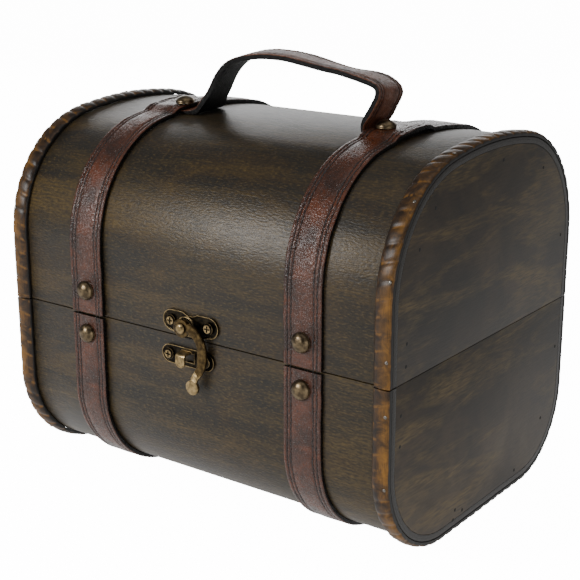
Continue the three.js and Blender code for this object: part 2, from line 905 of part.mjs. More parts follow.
function leafGeometry(half) {
  const away = seamSide[half];
  const first = half === 'base' ? 0 : 1;
  const back = -knuckleRadius;
  const front = back + leafThickness;
  const clear = knuckleRadius + knuckleGap;
  const plate = box(
    -hingeLength / 2,
    hingeLength / 2,
    back,
    front,
    Math.min(away * clear, away * leafHeight),
    Math.max(away * clear, away * leafHeight),
  );
  const pieces = [plate];
  for (let number = first; number < knuckleCount; number += 2) {
    const [low, high] = knuckleSpan(number);
    const overlap = away * (clear + leafThickness);
    pieces.push(box(low, high, back, front, Math.min(0, overlap), Math.max(0, overlap)));
    const barrel = new THREE.CylinderGeometry(knuckleRadius, knuckleRadius, high - low, barrelFacets);
    pieces.push(barrel.rotateZ(Math.PI / 2).translate((low + high) / 2, 0, 0));
  }
  const bore = hingePinRadius + pinClearance;
  const boreTool = new THREE.CylinderGeometry(bore, bore, hingeLength + 2 * overrun, barrelFacets);
  boreTool.rotateZ(Math.PI / 2);
  const screwHole = screwShankRadius + drillClearance;
  const drills = Object.values(sides).map((sign) => {
    const length = leafThickness + 2 * overrun;
    const drill = new THREE.CylinderGeometry(screwHole, screwHole, length, drillFacets);
    return drill.translate((sign * hingeScrewSpacing) / 2, (back + front) / 2, away * hingeScrewDrop);
  });
  return cut(join(pieces), [boreTool, ...drills]);
}

function hingePinGeometry() {
  const end = hingeLength / 2 + seat;
  const tip = end + pinHeadHeight;
  const pin = revolve([
    [0, -tip],
    [pinHeadRadius - pinHeadEase, -tip],
    [pinHeadRadius, -end],
    [hingePinRadius, -end],
    [hingePinRadius, end],
    [pinHeadRadius, end],
    [pinHeadRadius - pinHeadEase, tip],
    [0, tip],
  ]);
  return pin.rotateZ(Math.PI / 2);
}

// Assembly

// A part turned about Y stands on the rear wall; half a turn about X puts it on the front wall.
function onWall(geometry, wall) {
  return wall === 'front' ? geometry.rotateX(Math.PI) : geometry;
}

function addShell(chest, half) {
  addMesh(chest, `${half}_shell`, shellGeometry(half), stainedPly);
  for (const side of Object.keys(sides)) {
    addMesh(chest, `${half}_end_${side}`, endBoardGeometry(half, side), stainedBoard);
    addMesh(chest, `${half}_cane_${side}`, caneGeometry(half, side), scorchedCane);
  }
}

function addBands(chest, half) {
  for (const [side, x] of Object.entries(strapCentres)) {
    addMesh(chest, `${half}_strap_${side}`, strapGeometry(half, side), oxbloodLeather);
    for (const [wall, sign] of Object.entries(walls)) {
      const nail = onWall(nailGeometry(strapTop + seat), wall);
      const y = sign * (halfDepth + strapTop + seat);
      addMesh(chest, `${half}_nail_${wall}_${side}`, nail, antiqueBrass, x, y, nailHeights[half]);
    }
  }
}

function addHandle(chest) {
  const handle = new THREE.Group();
  handle.position.set(0, 0, crownCentreZ);
  handle.rotation.x = handleLean;
  addMesh(handle, 'carry_handle', handleGeometry(), oxbloodLeather);
  const stack = flapLift + strapTop + seat;
  for (const [side, x] of Object.entries(handleNails)) {
    const nail = nailGeometry(stack).rotateX(Math.PI / 2);
    addMesh(handle, `handle_nail_${side}`, nail, antiqueBrass, x, -handleNailForward, crownRadius + stack);
  }
  chest.add(handle);
}

function addLatch(chest) {
  const plateY = -halfDepth - seat;
  const catchPlate = latchPlates.base;
  const hookPlate = latchPlates.lid;
  addMesh(chest, 'catch_plate', catchPlateGeometry(), antiqueBrass, catchPlate.x, plateY, catchPlate.z);
  addMesh(chest, 'hook_plate', hookPlateGeometry(), antiqueBrass, hookPlate.x, plateY, hookPlate.z);
  for (const [half, label] of [['base', 'catch'], ['lid', 'hook']]) {
    for (const { side, x, z } of latchScrews(half)) {
      const screw = onWall(screwGeometry(plateFront + seat), 'front');
      addMesh(chest, `${label}_screw_${side}`, screw, antiqueBrass, x, -halfDepth - plateFront - seat, z);
    }
  }
  addMesh(chest, 'latch_hook', hookGeometry(), antiqueBrass, pivotX, -halfDepth - hookBack, pivotZ);
  const rivet = onWall(rivetGeometry(), 'front');
  addMesh(chest, 'hook_rivet', rivet, antiqueBrass, pivotX, -halfDepth - hookFront - seat, pivotZ);
}

function addHinges(chest) {
  const screwY = halfDepth + seat + leafThickness + seat;
  for (const [hinge, hingeX] of Object.entries(hinges)) {
    for (const half of Object.keys(seamSide)) {
      const leaf = leafGeometry(half);
      addMesh(chest, `hinge_${half}_leaf_${hinge}`, leaf, antiqueBrass, hingeX, hingeAxisY, seamZ);
      for (const { side, x, z } of hingeScrews(half, hinge)) {
        const screw = onWall(screwGeometry(leafThickness + 2 * seat), 'rear');
        addMesh(chest, `hinge_${half}_screw_${hinge}_${side}`, screw, antiqueBrass, x, screwY, z);
      }
    }
    addMesh(chest, `hinge_pin_${hinge}`, hingePinGeometry(), antiqueBrass, hingeX, hingeAxisY, seamZ);
  }
}

const chest = new THREE.Group();
for (const half of Object.keys(seamSide)) {
  addShell(chest, half);
  addBands(chest, half);
}
addHandle(chest);
addLatch(chest);
addHinges(chest);

export default chest;
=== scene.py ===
# Looks of the domed wooden treasure chest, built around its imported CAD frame.
# Metres. X runs along the chest, the front faces -Y, +Z is up.
import math

import bmesh
import bpy
from mathutils import Matrix, Vector, noise


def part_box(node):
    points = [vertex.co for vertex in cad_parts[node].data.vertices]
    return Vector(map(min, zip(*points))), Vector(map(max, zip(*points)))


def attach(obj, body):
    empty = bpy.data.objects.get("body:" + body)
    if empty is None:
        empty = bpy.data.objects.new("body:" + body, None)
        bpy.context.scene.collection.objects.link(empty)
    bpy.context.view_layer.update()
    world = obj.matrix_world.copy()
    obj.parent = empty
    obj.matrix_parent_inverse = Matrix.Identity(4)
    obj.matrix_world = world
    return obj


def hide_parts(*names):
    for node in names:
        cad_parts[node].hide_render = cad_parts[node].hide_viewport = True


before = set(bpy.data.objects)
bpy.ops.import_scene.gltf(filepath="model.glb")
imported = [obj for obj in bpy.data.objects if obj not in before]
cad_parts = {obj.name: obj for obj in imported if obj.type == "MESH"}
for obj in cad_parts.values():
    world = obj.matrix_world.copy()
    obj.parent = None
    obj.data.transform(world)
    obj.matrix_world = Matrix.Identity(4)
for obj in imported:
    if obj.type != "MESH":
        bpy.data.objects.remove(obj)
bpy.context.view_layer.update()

MM = 0.001
QUARTER = math.pi / 2
HALVES = ("base", "lid")
SIDES = {"left": -1, "right": 1}
WALLS = {"front": -1, "rear": 1}

# Box, as in the part's source; the crown and the corners are radii
HALF_LENGTH = 110 * MM
HALF_DEPTH = 80.5 * MM
SHELL_HEIGHT = 174.8 * MM
SEAM_HEIGHT = 84.6 * MM
SEAM_GAP = 0.6 * MM
PLY = 3 * MM
TOP_CORNER = 54.5 * MM
CROWN = 211 * MM
FRONT_BOTTOM = 46 * MM
REAR_BOTTOM = 38 * MM
SEAT = 0.3 * MM
SHELL_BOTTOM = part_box("base_shell")[0][2]
SEAM = SHELL_BOTTOM + SEAM_HEIGHT
CROWN_CENTRE = SHELL_BOTTOM + SHELL_HEIGHT - CROWN

# Bands, handle and fittings, as in the part's source
BAND_WIDTH = 20 * MM
BAND_THICKNESS = 1.9 * MM
BAND_CENTRES = {"left": -61.2 * MM, "right": 65.8 * MM}
HANDLE_WIDTH = 22 * MM
HANDLE_THICKNESS = 2.6 * MM
FLAP_THICKNESS = 1.2 * MM
HANDLE_FORWARD = 10.5 * MM
HANDLE_RISE = 30.7 * MM
FLAP_LIFT = 1.8 * MM
HUMP_RAMP = 7 * MM

# Details that both a material and a mesh need
CANE_WIDTH = 8.4 * MM
CANE_PITCH = 7.2 * MM
CANE_LEAN = 2.4 * MM
STITCH_ROWS = (2.1 * MM, 4.1 * MM)
# along the lid's strip, from its rear seam to where the stain is rubbed through on the dome's front
GOLD_BAND = 238 * MM

# Camera, fitted to the outlines of the chest in the photograph
LENS = 82.59
SENSOR = 36
CAMERA_PLACE = (0.377307, -0.514559, 0.282810 + SHELL_BOTTOM)
CAMERA_RIGHT = (0.80550, 0.59259, -0.00008)
CAMERA_UP = (-0.17346, 0.23592, 0.95617)

# Light: the world's strength, what the camera sees of it on top, and the soft boxes, each with its
# direction, distance, size, radiance and target
WORLD_GLOW = 0.27
SEEN_WHITE = 14.0
SOFT_BOXES = {
    "key": ((-0.47, -0.79, 0.34), 1.1, (0.32, 0.26), 40, (0.1, -0.07, 0.14)),
    "overhead": ((0.2, -0.1, 1), 1.3, (1.4, 1.0), 0.9, (0, 0, 0.1)),
    "backdrop": ((-0.5, 0.8, 0.26), 1.5, (1.7, 0.55), 2.8, (0, 0, 0.1)),
    "end_fill": ((0.95, -0.5, 0.1), 1.2, (1.0, 0.5), 2.6, (0, 0, 0.05)),
}
FLOOR_REACH = 20


def linear(colour):
    """An sRGB hex colour as linear RGBA."""
    channels = [int(colour[i:i + 2], 16) / 255 for i in (1, 3, 5)]
    return [c / 12.92 if c <= 0.04045 else ((c + 0.055) / 1.055) ** 2.4 for c in channels] + [1]


def smooth(value, low, high):
    """0 below low, 1 above high and an even turn between them."""
    share = min(1, max(0, (value - low) / (high - low)))
    return share * share * (3 - 2 * share)


# Camera, floor and light


def aimed(place, right, up):
    """A matrix that stands at a place with its X to the right and its Y up."""
    right = Vector(right).normalized()
    up = Vector(up).normalized()
    return Matrix.Translation(place) @ Matrix((right, up, right.cross(up))).transposed().to_4x4()


def place_camera():
    """The photograph's viewing angle."""
    data = bpy.data.cameras.new("camera")
    data.lens = LENS
    data.sensor_width = SENSOR
    camera = bpy.data.objects.new("camera", data)
    camera.matrix_world = aimed(CAMERA_PLACE, CAMERA_RIGHT, CAMERA_UP)
    bpy.context.scene.collection.objects.link(camera)
    bpy.context.scene.camera = camera


def add_light(name, direction, distance, size, radiance, target):
    """A soft box that looks at a target from a direction."""
    data = bpy.data.lights.new(name, "AREA")
    data.shape = "RECTANGLE"
    data.size, data.size_y = size
    data.energy = radiance * math.pi * size[0] * size[1]
    light = bpy.data.objects.new(name, data)
    target = Vector(target)
    place = target + Vector(direction).normalized() * distance
    turn = (target - place).to_track_quat("-Z", "Y").to_matrix().to_4x4()
    light.matrix_world = Matrix.Translation(place) @ turn
    bpy.context.scene.collection.objects.link(light)


def light_stage():
    """Pale surroundings, a soft key low at the left front, weaker boxes round it and a pale floor."""
    world = bpy.data.worlds.new("studio")
    world.use_nodes = True
    tree = world.node_tree
    seen = add(tree, "ShaderNodeLightPath").outputs["Is Camera Ray"]
    glow = add(tree, "ShaderNodeMath", {0: seen, 1: SEEN_WHITE, 2: WORLD_GLOW}, operation="MULTIPLY_ADD")
    feed(tree, tree.nodes["Background"], {"Color": linear("#ffffff"), "Strength": glow})
    bpy.context.scene.world = world
    for name, settings in SOFT_BOXES.items():
        add_light(name, *settings)
    bm = bmesh.new()
    bmesh.ops.create_grid(bm, x_segments=1, y_segments=1, size=FLOOR_REACH)
    mesh = bpy.data.meshes.new("floor")
    bm.to_mesh(mesh)
    bm.free()
    mesh.materials.append(paper_floor())
    floor = bpy.data.objects.new("floor", mesh)
    bpy.context.scene.collection.objects.link(floor)


# Materials


def feed(tree, node, inputs):
    """Sets a node's inputs, each to a value, a socket, or a node whose first live output feeds it."""
    for key, value in inputs.items():
        if isinstance(value, bpy.types.Node):
            value = next(output for output in value.outputs if output.enabled)
        if isinstance(value, bpy.types.NodeSocket):
            tree.links.new(value, node.inputs[key])
        else:
            node.inputs[key].default_value = value


def add(tree, kind, inputs=None, stops=None, **settings):
    """Adds a node with its settings, its colour stops and what feeds it."""
    made = tree.nodes.new(kind)
    for key, value in settings.items():
        setattr(made, key, value)
    if stops:
        elements = made.color_ramp.elements
        while len(elements) < len(stops):
            elements.new(1)
        for element, (place, colour) in zip(elements, stops):
            element.position = place
            element.color = linear(colour)
    feed(tree, made, inputs or {})
    return made


def start_material(name):
    """A material with its tree and its shader."""
    material = bpy.data.materials.new(name)
    material.use_nodes = True
    tree = material.node_tree
    return material, tree, tree.nodes["Principled BSDF"]


def paper_floor():
    """Matt white paper that glows: evenly white where the camera sees it, with a painted pool of glow
    round the chest that also lights the chest.
    """
    material, tree, shader = start_material("white_background_paper")
    fibre = add(tree, "ShaderNodeTexNoise", {"Scale": 400.0})
    tone = add(tree, "ShaderNodeValToRGB", {"Fac": fibre}, stops=[(0.3, "#f4f4f3"), (0.7, "#fafaf9")])
    # painted light: the paper glows most round the chest, and this glow lights the chest too
    place = add(tree, "ShaderNodeTexCoord").outputs["Object"]
    out = add(tree, "ShaderNodeVectorMath", {0: place}, operation="LENGTH")
    painted_glow_pool = add(tree, "ShaderNodeMapRange",
               {"Value": out, "From Min": 100 * MM, "From Max": 500 * MM, "To Min": 0.5, "To Max": 0.12})
    seen = add(tree, "ShaderNodeLightPath").outputs["Is Camera Ray"]
    glow = add(tree, "ShaderNodeMath", {0: seen, 1: SEEN_WHITE, 2: painted_glow_pool}, operation="MULTIPLY_ADD")
    feed(tree, shader, {"Base Color": tone, "Roughness": 0.95, "Emission Color": linear("#ffffff"),
                        "Emission Strength": glow})
    return material


def stained_plywood():
    """Birch plywood, dark stained, rubbed back and lacquered: long faint grain streaks along the
    chest, clouds of olive and dark brown, gold where the stain is rubbed through on the front of the
    dome, and the broad sheen of thin lacquer broken into specks by open grain."""
    material, tree, shader = start_material("stained_lacquered_plywood")
    flat = add(tree, "ShaderNodeAttribute", attribute_name="strip").outputs["Vector"]
    parts = add(tree, "ShaderNodeSeparateXYZ", {0: flat}).outputs
    # streaks 0.5 mm wide and some 10 mm long
    fine_map = add(tree, "ShaderNodeMapping", {"Vector": flat, "Scale": (100, 1100, 1100)})
    fine = add(tree, "ShaderNodeTexNoise",
               {"Vector": fine_map, "Scale": 1.0, "Detail": 6.0, "Roughness": 0.75})
    # clouds some 40 mm long and 20 mm high
    cloud_map = add(tree, "ShaderNodeMapping",
                    {"Vector": flat, "Scale": (24, 52, 52), "Location": (3.1, 1.7, 0)})
    cloud = add(tree, "ShaderNodeTexNoise",
                {"Vector": cloud_map, "Scale": 1.0, "Detail": 6.0, "Roughness": 0.66, "Distortion": 1.2})
    # rubbed patches some 80 mm long and 10 mm high
    patch_map = add(tree, "ShaderNodeMapping",
                    {"Vector": flat, "Scale": (12, 95, 95), "Location": (7.3, 5.2, 0)})
    patch = add(tree, "ShaderNodeTexNoise",
                {"Vector": patch_map, "Scale": 1.0, "Detail": 6.0, "Roughness": 0.68, "Distortion": 0.4})
    ground = add(tree, "ShaderNodeValToRGB", {"Fac": cloud},
                 stops=[(0.3, "#131211"), (0.44, "#191612"), (0.56, "#231b12"), (0.7, "#302513")])
    # the golden band over the front of the dome, fading out 15 mm to each side
    band = add(tree, "ShaderNodeMath", {0: parts["Y"], 1: GOLD_BAND}, operation="SUBTRACT")
    near = add(tree, "ShaderNodeMath", {0: band}, operation="ABSOLUTE")
    golden = add(tree, "ShaderNodeMapRange",
                 {"Value": near, "From Min": 15 * MM, "From Max": 0.0, "To Min": 0.0, "To Max": 0.32})
    # and paler and more golden over the front of the base towards its right end: partly rubbed patches,
    # partly painted light
    right = add(tree, "ShaderNodeMapRange",
                {"Value": parts["X"], "From Min": 45 * MM, "From Max": 95 * MM})
    under = add(tree, "ShaderNodeMapRange",
                {"Value": parts["Y"], "From Min": 120 * MM, "From Max": 70 * MM, "To Max": 0.18})
    corner = add(tree, "ShaderNodeMath", {0: right, 1: under, 2: golden}, operation="MULTIPLY_ADD")
    rub_and_painted_light = add(tree, "ShaderNodeMath", {0: patch, 1: corner}, operation="ADD")
    rub_and_light_mask = add(tree, "ShaderNodeMapRange",
                   {"Value": rub_and_painted_light, "From Min": 0.44, "From Max": 0.72, "To Min": 0.06, "To Max": 0.54})
    streak = add(tree, "ShaderNodeMapRange",
                 {"Value": fine, "From Min": 0.42, "From Max": 0.66, "To Min": 0.32})
    tan_mask = add(tree, "ShaderNodeMath", {0: rub_and_light_mask, 1: streak}, operation="MULTIPLY")
    tanned = add(tree, "ShaderNodeMix", {0: tan_mask, 6: ground, 7: linear("#624e25")},
                 data_type="RGBA")
    dark_mask = add(tree, "ShaderNodeMapRange",
                    {"Value": fine, "From Min": 0.48, "From Max": 0.3, "To Max": 0.35})
    grained = add(tree, "ShaderNodeMix", {0: dark_mask, 6: tanned, 7: linear("#171513")},
                  data_type="RGBA")
    # specks 0.8 mm wide and 2 mm long: dark open grain and, fewer, bare gold flecks
    speck_map = add(tree, "ShaderNodeMapping", {"Vector": flat, "Scale": (480, 1250, 1250)})
    speck = add(tree, "ShaderNodeTexNoise", {"Vector": speck_map, "Scale": 1.0, "Detail": 3.0})
    pores = add(tree, "ShaderNodeMapRange",
                {"Value": speck, "From Min": 0.5, "From Max": 0.34, "To Max": 0.5})
    pored = add(tree, "ShaderNodeMix", {0: pores, 6: grained, 7: linear("#100f0d")}, data_type="RGBA")
    bare = add(tree, "ShaderNodeMapRange",
               {"Value": speck, "From Min": 0.55, "From Max": 0.7, "To Max": 0.4})
    flecked = add(tree, "ShaderNodeMix", {0: bare, 6: pored, 7: linear("#5a4a28")}, data_type="RGBA")
    gloss = add(tree, "ShaderNodeMapRange",
                {"Value": fine, "From Min": 0.3, "From Max": 0.7, "To Min": 0.46, "To Max": 0.32})
    relief = add(tree, "ShaderNodeBump", {"Height": fine, "Strength": 0.3, "Distance": 0.2 * MM})
    open_grain = add(tree, "ShaderNodeBump",
                     {"Height": speck, "Strength": 0.6, "Distance": 0.3 * MM, "Normal": relief})
    feed(tree, shader, {"Base Color": ply_edge(tree, parts, flecked), "Roughness": gloss,
                        "Specular IOR Level": 0.32, "Normal": open_grain})
    return material


def ply_edge(tree, parts, face):
    """The cut edge of the ply at both ends of the chest: near black, with the lines of its plies."""
    edge_depth = 0.25 * MM
    ply_pitch = 1.1 * MM
    out = add(tree, "ShaderNodeMath", {0: parts["X"]}, operation="ABSOLUTE")
    mask = add(tree, "ShaderNodeMath", {0: out, 1: HALF_LENGTH - edge_depth}, operation="GREATER_THAN")
    plies = add(tree, "ShaderNodeMath", {0: parts["Z"], 1: 2 * math.pi / ply_pitch},
                operation="MULTIPLY")
    line = add(tree, "ShaderNodeMath", {0: plies}, operation="SINE")
    edge = add(tree, "ShaderNodeMapRange", {"Value": line, "From Min": -1.0})
    tone = add(tree, "ShaderNodeMix", {0: edge, 6: linear("#1b1917"), 7: linear("#2a2724")},
               data_type="RGBA")
    return add(tree, "ShaderNodeMix", {0: mask, 6: face, 7: tone}, data_type="RGBA")


def stained_board():
    """Solid end boards, stained grey brown and rubbed across with tan: cloudy diagonal smears, short
    fibres and a duller lacquer than the shells."""
    material, tree, shader = start_material("stained_rubbed_board")
    place = add(tree, "ShaderNodeTexCoord").outputs["Object"]
    # smears some 60 mm long and 13 mm wide, rising to the rear
    smear_map = add(tree, "ShaderNodeMapping",
                    {"Vector": place, "Rotation": (math.radians(-28), 0, 0), "Scale": (40, 16, 75)})
    smear = add(tree, "ShaderNodeTexNoise",
                {"Vector": smear_map, "Scale": 1.0, "Detail": 5.0, "Roughness": 0.65, "Distortion": 0.8})
    # clouds some 45 mm across
    cloud = add(tree, "ShaderNodeTexNoise",
                {"Vector": place, "Scale": 22.0, "Detail": 5.0, "Roughness": 0.6, "Distortion": 0.5})
    # fibres some 8 mm long and 0.5 mm wide
    fibre_map = add(tree, "ShaderNodeMapping",
                    {"Vector": place, "Rotation": (math.radians(-12), 0, 0), "Scale": (300, 120, 1100)})
    fibre = add(tree, "ShaderNodeTexNoise",
                {"Vector": fibre_map, "Scale": 1.0, "Detail": 4.0, "Roughness": 0.6})
    # painted light: the boards are made paler towards the foot, standing in for the floor's light
    # reflected there
    height = add(tree, "ShaderNodeSeparateXYZ", {0: place}).outputs["Z"]
    foot = add(tree, "ShaderNodeMapRange",
               {"Value": height, "From Min": 110 * MM, "From Max": 20 * MM, "To Max": 0.16})
    cloud_and_floor_bounce = add(tree, "ShaderNodeMath", {0: cloud, 1: foot}, operation="ADD")
    ground = add(tree, "ShaderNodeValToRGB", {"Fac": cloud_and_floor_bounce},
                 stops=[(0.33, "#1b1813"), (0.5, "#272018"), (0.66, "#352b1f"), (0.82, "#453a2b")])
    smeared = add(tree, "ShaderNodeMapRange",
                  {"Value": smear, "From Min": 0.47, "From Max": 0.66, "To Max": 0.7})
    streak = add(tree, "ShaderNodeMapRange",
                 {"Value": fibre, "From Min": 0.4, "From Max": 0.62, "To Min": 0.3})
    tan_mask = add(tree, "ShaderNodeMath", {0: smeared, 1: streak}, operation="MULTIPLY")
    tanned = add(tree, "ShaderNodeMix", {0: tan_mask, 6: ground, 7: linear("#5c4c2b")},
                 data_type="RGBA")
    dark_mask = add(tree, "ShaderNodeMapRange",
                    {"Value": fibre, "From Min": 0.52, "From Max": 0.3, "To Max": 0.5})
    grained = add(tree, "ShaderNodeMix", {0: dark_mask, 6: tanned, 7: linear("#171513")},
                  data_type="RGBA")
    relief = add(tree, "ShaderNodeBump", {"Height": fibre, "Strength": 0.35, "Distance": 0.25 * MM})
    feed(tree, shader, {"Base Color": grained, "Roughness": 0.5, "Specular IOR Level": 0.35,
                        "Normal": relief})
    return material


def scorched_cane():
    """Split cane, scorched in turns and lacquered: dark brown pads, golden orange in the nicks between
    them and along the outer side, where it is partly a painted highlight, fine fibres along it and a
    hard bright gloss."""
    material, tree, shader = start_material("scorched_lacquered_cane")
    flat = add(tree, "ShaderNodeAttribute", attribute_name="strip").outputs["Vector"]
    parts = add(tree, "ShaderNodeSeparateXYZ", {0: flat}).outputs
    # the nicks lean across the cane as its pads do
    slide = add(tree, "ShaderNodeMath", {0: parts["X"], 1: CANE_LEAN / CANE_WIDTH, 2: parts["Y"]},
                operation="MULTIPLY_ADD")
    turn = add(tree, "ShaderNodeMath", {0: slide, 1: 2 * math.pi / CANE_PITCH}, operation="MULTIPLY")
    wave = add(tree, "ShaderNodeMath", {0: turn}, operation="COSINE")
    nick = add(tree, "ShaderNodeMapRange", {"Value": wave, "From Min": 0.72, "From Max": 0.98})
    # blotches some 6 mm across that make each pad different
    blotch = add(tree, "ShaderNodeTexNoise",
                 {"Vector": flat, "Scale": 160.0, "Detail": 5.0, "Roughness": 0.65, "Distortion": 0.8})
    burnt = add(tree, "ShaderNodeValToRGB", {"Fac": blotch},
                stops=[(0.32, "#120d08"), (0.45, "#24180e"), (0.57, "#3a2712"), (0.7, "#553716")])
    # partly the cane's own amber, partly a painted highlight: golden orange along the outer side
    outer_amber_and_sheen = add(tree, "ShaderNodeMapRange",
                {"Value": parts["X"], "From Min": -1.8 * MM, "From Max": 2.2 * MM, "To Max": 0.85})
    # the orange side comes and goes every 25 mm or so
    spell = add(tree, "ShaderNodeTexNoise", {"Vector": flat, "Scale": 42.0, "Detail": 2.0})
    spell_mask = add(tree, "ShaderNodeMapRange",
                     {"Value": spell, "From Min": 0.4, "From Max": 0.58, "To Min": 0.15})
    # and the cane over the dome is scorched darkest
    place = add(tree, "ShaderNodeTexCoord").outputs["Object"]
    height = add(tree, "ShaderNodeSeparateXYZ", {0: place}).outputs["Z"]
    dome = add(tree, "ShaderNodeMapRange",
               {"Value": height, "From Min": 115 * MM, "From Max": 150 * MM, "To Min": 1.0,
                "To Max": 0.4})
    wall = add(tree, "ShaderNodeMath", {0: spell_mask, 1: dome}, operation="MULTIPLY")
    side = add(tree, "ShaderNodeMath", {0: outer_amber_and_sheen, 1: wall}, operation="MULTIPLY")
    # the nicks are bared only in places
    worn = add(tree, "ShaderNodeMapRange",
               {"Value": blotch, "From Min": 0.38, "From Max": 0.54, "To Max": 0.5})
    bared = add(tree, "ShaderNodeMath", {0: nick, 1: worn}, operation="MULTIPLY")
    nick_or_outer_amber_and_sheen = add(tree, "ShaderNodeMath", {0: side, 1: bared}, operation="MAXIMUM")
    heat = add(tree, "ShaderNodeMapRange",
               {"Value": blotch, "From Min": 0.38, "From Max": 0.58, "To Min": 0.3})
    orange = add(tree, "ShaderNodeMath", {0: nick_or_outer_amber_and_sheen, 1: heat}, operation="MULTIPLY")
    toned = add(tree, "ShaderNodeMix", {0: orange, 6: burnt, 7: linear("#7f571e")}, data_type="RGBA")
    # fibres some 6 mm long and 0.25 mm wide
    fibre_map = add(tree, "ShaderNodeMapping", {"Vector": flat, "Scale": (2200, 160, 400)})
    fibre = add(tree, "ShaderNodeTexNoise", {"Vector": fibre_map, "Scale": 1.0, "Detail": 3.0})
    dark_mask = add(tree, "ShaderNodeMapRange",
                    {"Value": fibre, "From Min": 0.5, "From Max": 0.3, "To Max": 0.5})
    grained = add(tree, "ShaderNodeMix", {0: dark_mask, 6: toned, 7: linear("#1c130c")},
                  data_type="RGBA")
    # the cut side of the cane is painted over with the stain
    low = add(tree, "ShaderNodeMapRange",
              {"Value": parts["Z"], "From Min": 2.1 * MM, "From Max": 1.6 * MM})
    painted = add(tree, "ShaderNodeMix", {0: low, 6: grained, 7: linear("#12100e")}, data_type="RGBA")
    relief = add(tree, "ShaderNodeBump", {"Height": fibre, "Strength": 0.25, "Distance": 0.15 * MM})
    feed(tree, shader, {"Base Color": painted, "Roughness": 0.4, "Specular IOR Level": 0.26,
                        "Normal": relief})
    return material


def oxblood_leather(name, half, top, tones, dull, bright, glaze):
    """Bonded leather, dyed oxblood and glazed: crumpled grain that breaks the gloss into flecks, wine
    red and brown clouds, painted shade in the hollows of its wrinkles, dark lines under the seams that
    are partly painted shade in their grooves, and near black cut edges."""
    material, tree, shader = start_material(name)
    flat = add(tree, "ShaderNodeAttribute", attribute_name="strip").outputs["Vector"]
    parts = add(tree, "ShaderNodeSeparateXYZ", {0: flat}).outputs
    # clouds some 14 mm across
    cloud = add(tree, "ShaderNodeTexNoise",
                {"Vector": flat, "Scale": 70.0, "Detail": 5.0, "Roughness": 0.65, "Distortion": 0.5})
    # wrinkles some 1.5 mm apart
    crease_map = add(tree, "ShaderNodeMapping", {"Vector": flat, "Scale": (620, 760, 300)})
    crease = add(tree, "ShaderNodeTexNoise",
                 {"Vector": crease_map, "Scale": 1.0, "Detail": 3.0, "Roughness": 0.55,
                  "Distortion": 1.6})
    ground = add(tree, "ShaderNodeValToRGB", {"Fac": cloud}, stops=tones)
    # painted shade: darker in the hollows of the wrinkles
    dark_mask = add(tree, "ShaderNodeMapRange",
                    {"Value": crease, "From Min": 0.47, "From Max": 0.33, "To Max": 0.7})
    crease_shaded = add(tree, "ShaderNodeMix", {0: dark_mask, 6: ground, 7: linear("#180d0b")},
                  data_type="RGBA")
    # two dark lines near each edge, wandering a little: partly the dark of the seam holes, partly
    # painted shade in the seam grooves
    wander = add(tree, "ShaderNodeTexNoise", {"Vector": flat, "Scale": 260.0, "Detail": 2.0})
    drift = add(tree, "ShaderNodeMapRange",
                {"Value": wander, "To Min": -0.9 * MM, "To Max": 0.9 * MM})
    out = add(tree, "ShaderNodeMath", {0: parts["X"]}, operation="ABSOLUTE")
    from_edge = add(tree, "ShaderNodeMath", {0: out, 1: drift}, operation="ADD")
    middle = half - (STITCH_ROWS[0] + STITCH_ROWS[1]) / 2
    offset = add(tree, "ShaderNodeMath", {0: from_edge, 1: middle}, operation="SUBTRACT")
    pair = add(tree, "ShaderNodeMath", {0: offset}, operation="ABSOLUTE")
    row = add(tree, "ShaderNodeMath", {0: pair, 1: (STITCH_ROWS[1] - STITCH_ROWS[0]) / 2},
              operation="SUBTRACT")
    near = add(tree, "ShaderNodeMath", {0: row}, operation="ABSOLUTE")
    line = add(tree, "ShaderNodeMapRange",
               {"Value": near, "From Min": 0.5 * MM, "From Max": 0.22 * MM, "To Max": 0.9})
    seam_dark_and_shaded = add(tree, "ShaderNodeMix", {0: line, 6: crease_shaded, 7: linear("#0a0605")}, data_type="RGBA")
    low = add(tree, "ShaderNodeMapRange",
              {"Value": parts["Z"], "From Min": top - 0.3 * MM, "From Max": top - 0.5 * MM})
    edged = add(tree, "ShaderNodeMix", {0: low, 6: seam_dark_and_shaded, 7: linear("#0c0b0a")}, data_type="RGBA")
    gloss = add(tree, "ShaderNodeMapRange",
                {"Value": crease, "From Min": 0.38, "From Max": 0.56, "To Min": dull, "To Max": bright})
    # pebbles some 1 mm across that break the gloss into a net of flecks
    pebble = add(tree, "ShaderNodeTexVoronoi", {"Vector": flat, "Scale": 950.0},
                 feature="DISTANCE_TO_EDGE")
    crown = add(tree, "ShaderNodeMapRange", {"Value": pebble, "From Max": 0.3})
    grain = add(tree, "ShaderNodeBump", {"Height": crown, "Strength": 0.9, "Distance": 0.09 * MM})
    relief = add(tree, "ShaderNodeBump",
                 {"Height": crease, "Strength": 1.0, "Distance": 0.26 * MM, "Normal": grain})
    # the flesh side and the cut edges are matt
    shine = add(tree, "ShaderNodeMapRange", {"Value": low, "To Min": 0.38, "To Max": 0.1})
    # a thin glaze sparkles on the pebbles
    feed(tree, shader, {"Base Color": edged, "Roughness": gloss, "Specular IOR Level": shine,
                        "Normal": relief, "Coat Weight": glaze, "Coat Roughness": 0.14,
                        "Coat Normal": relief})
    return material


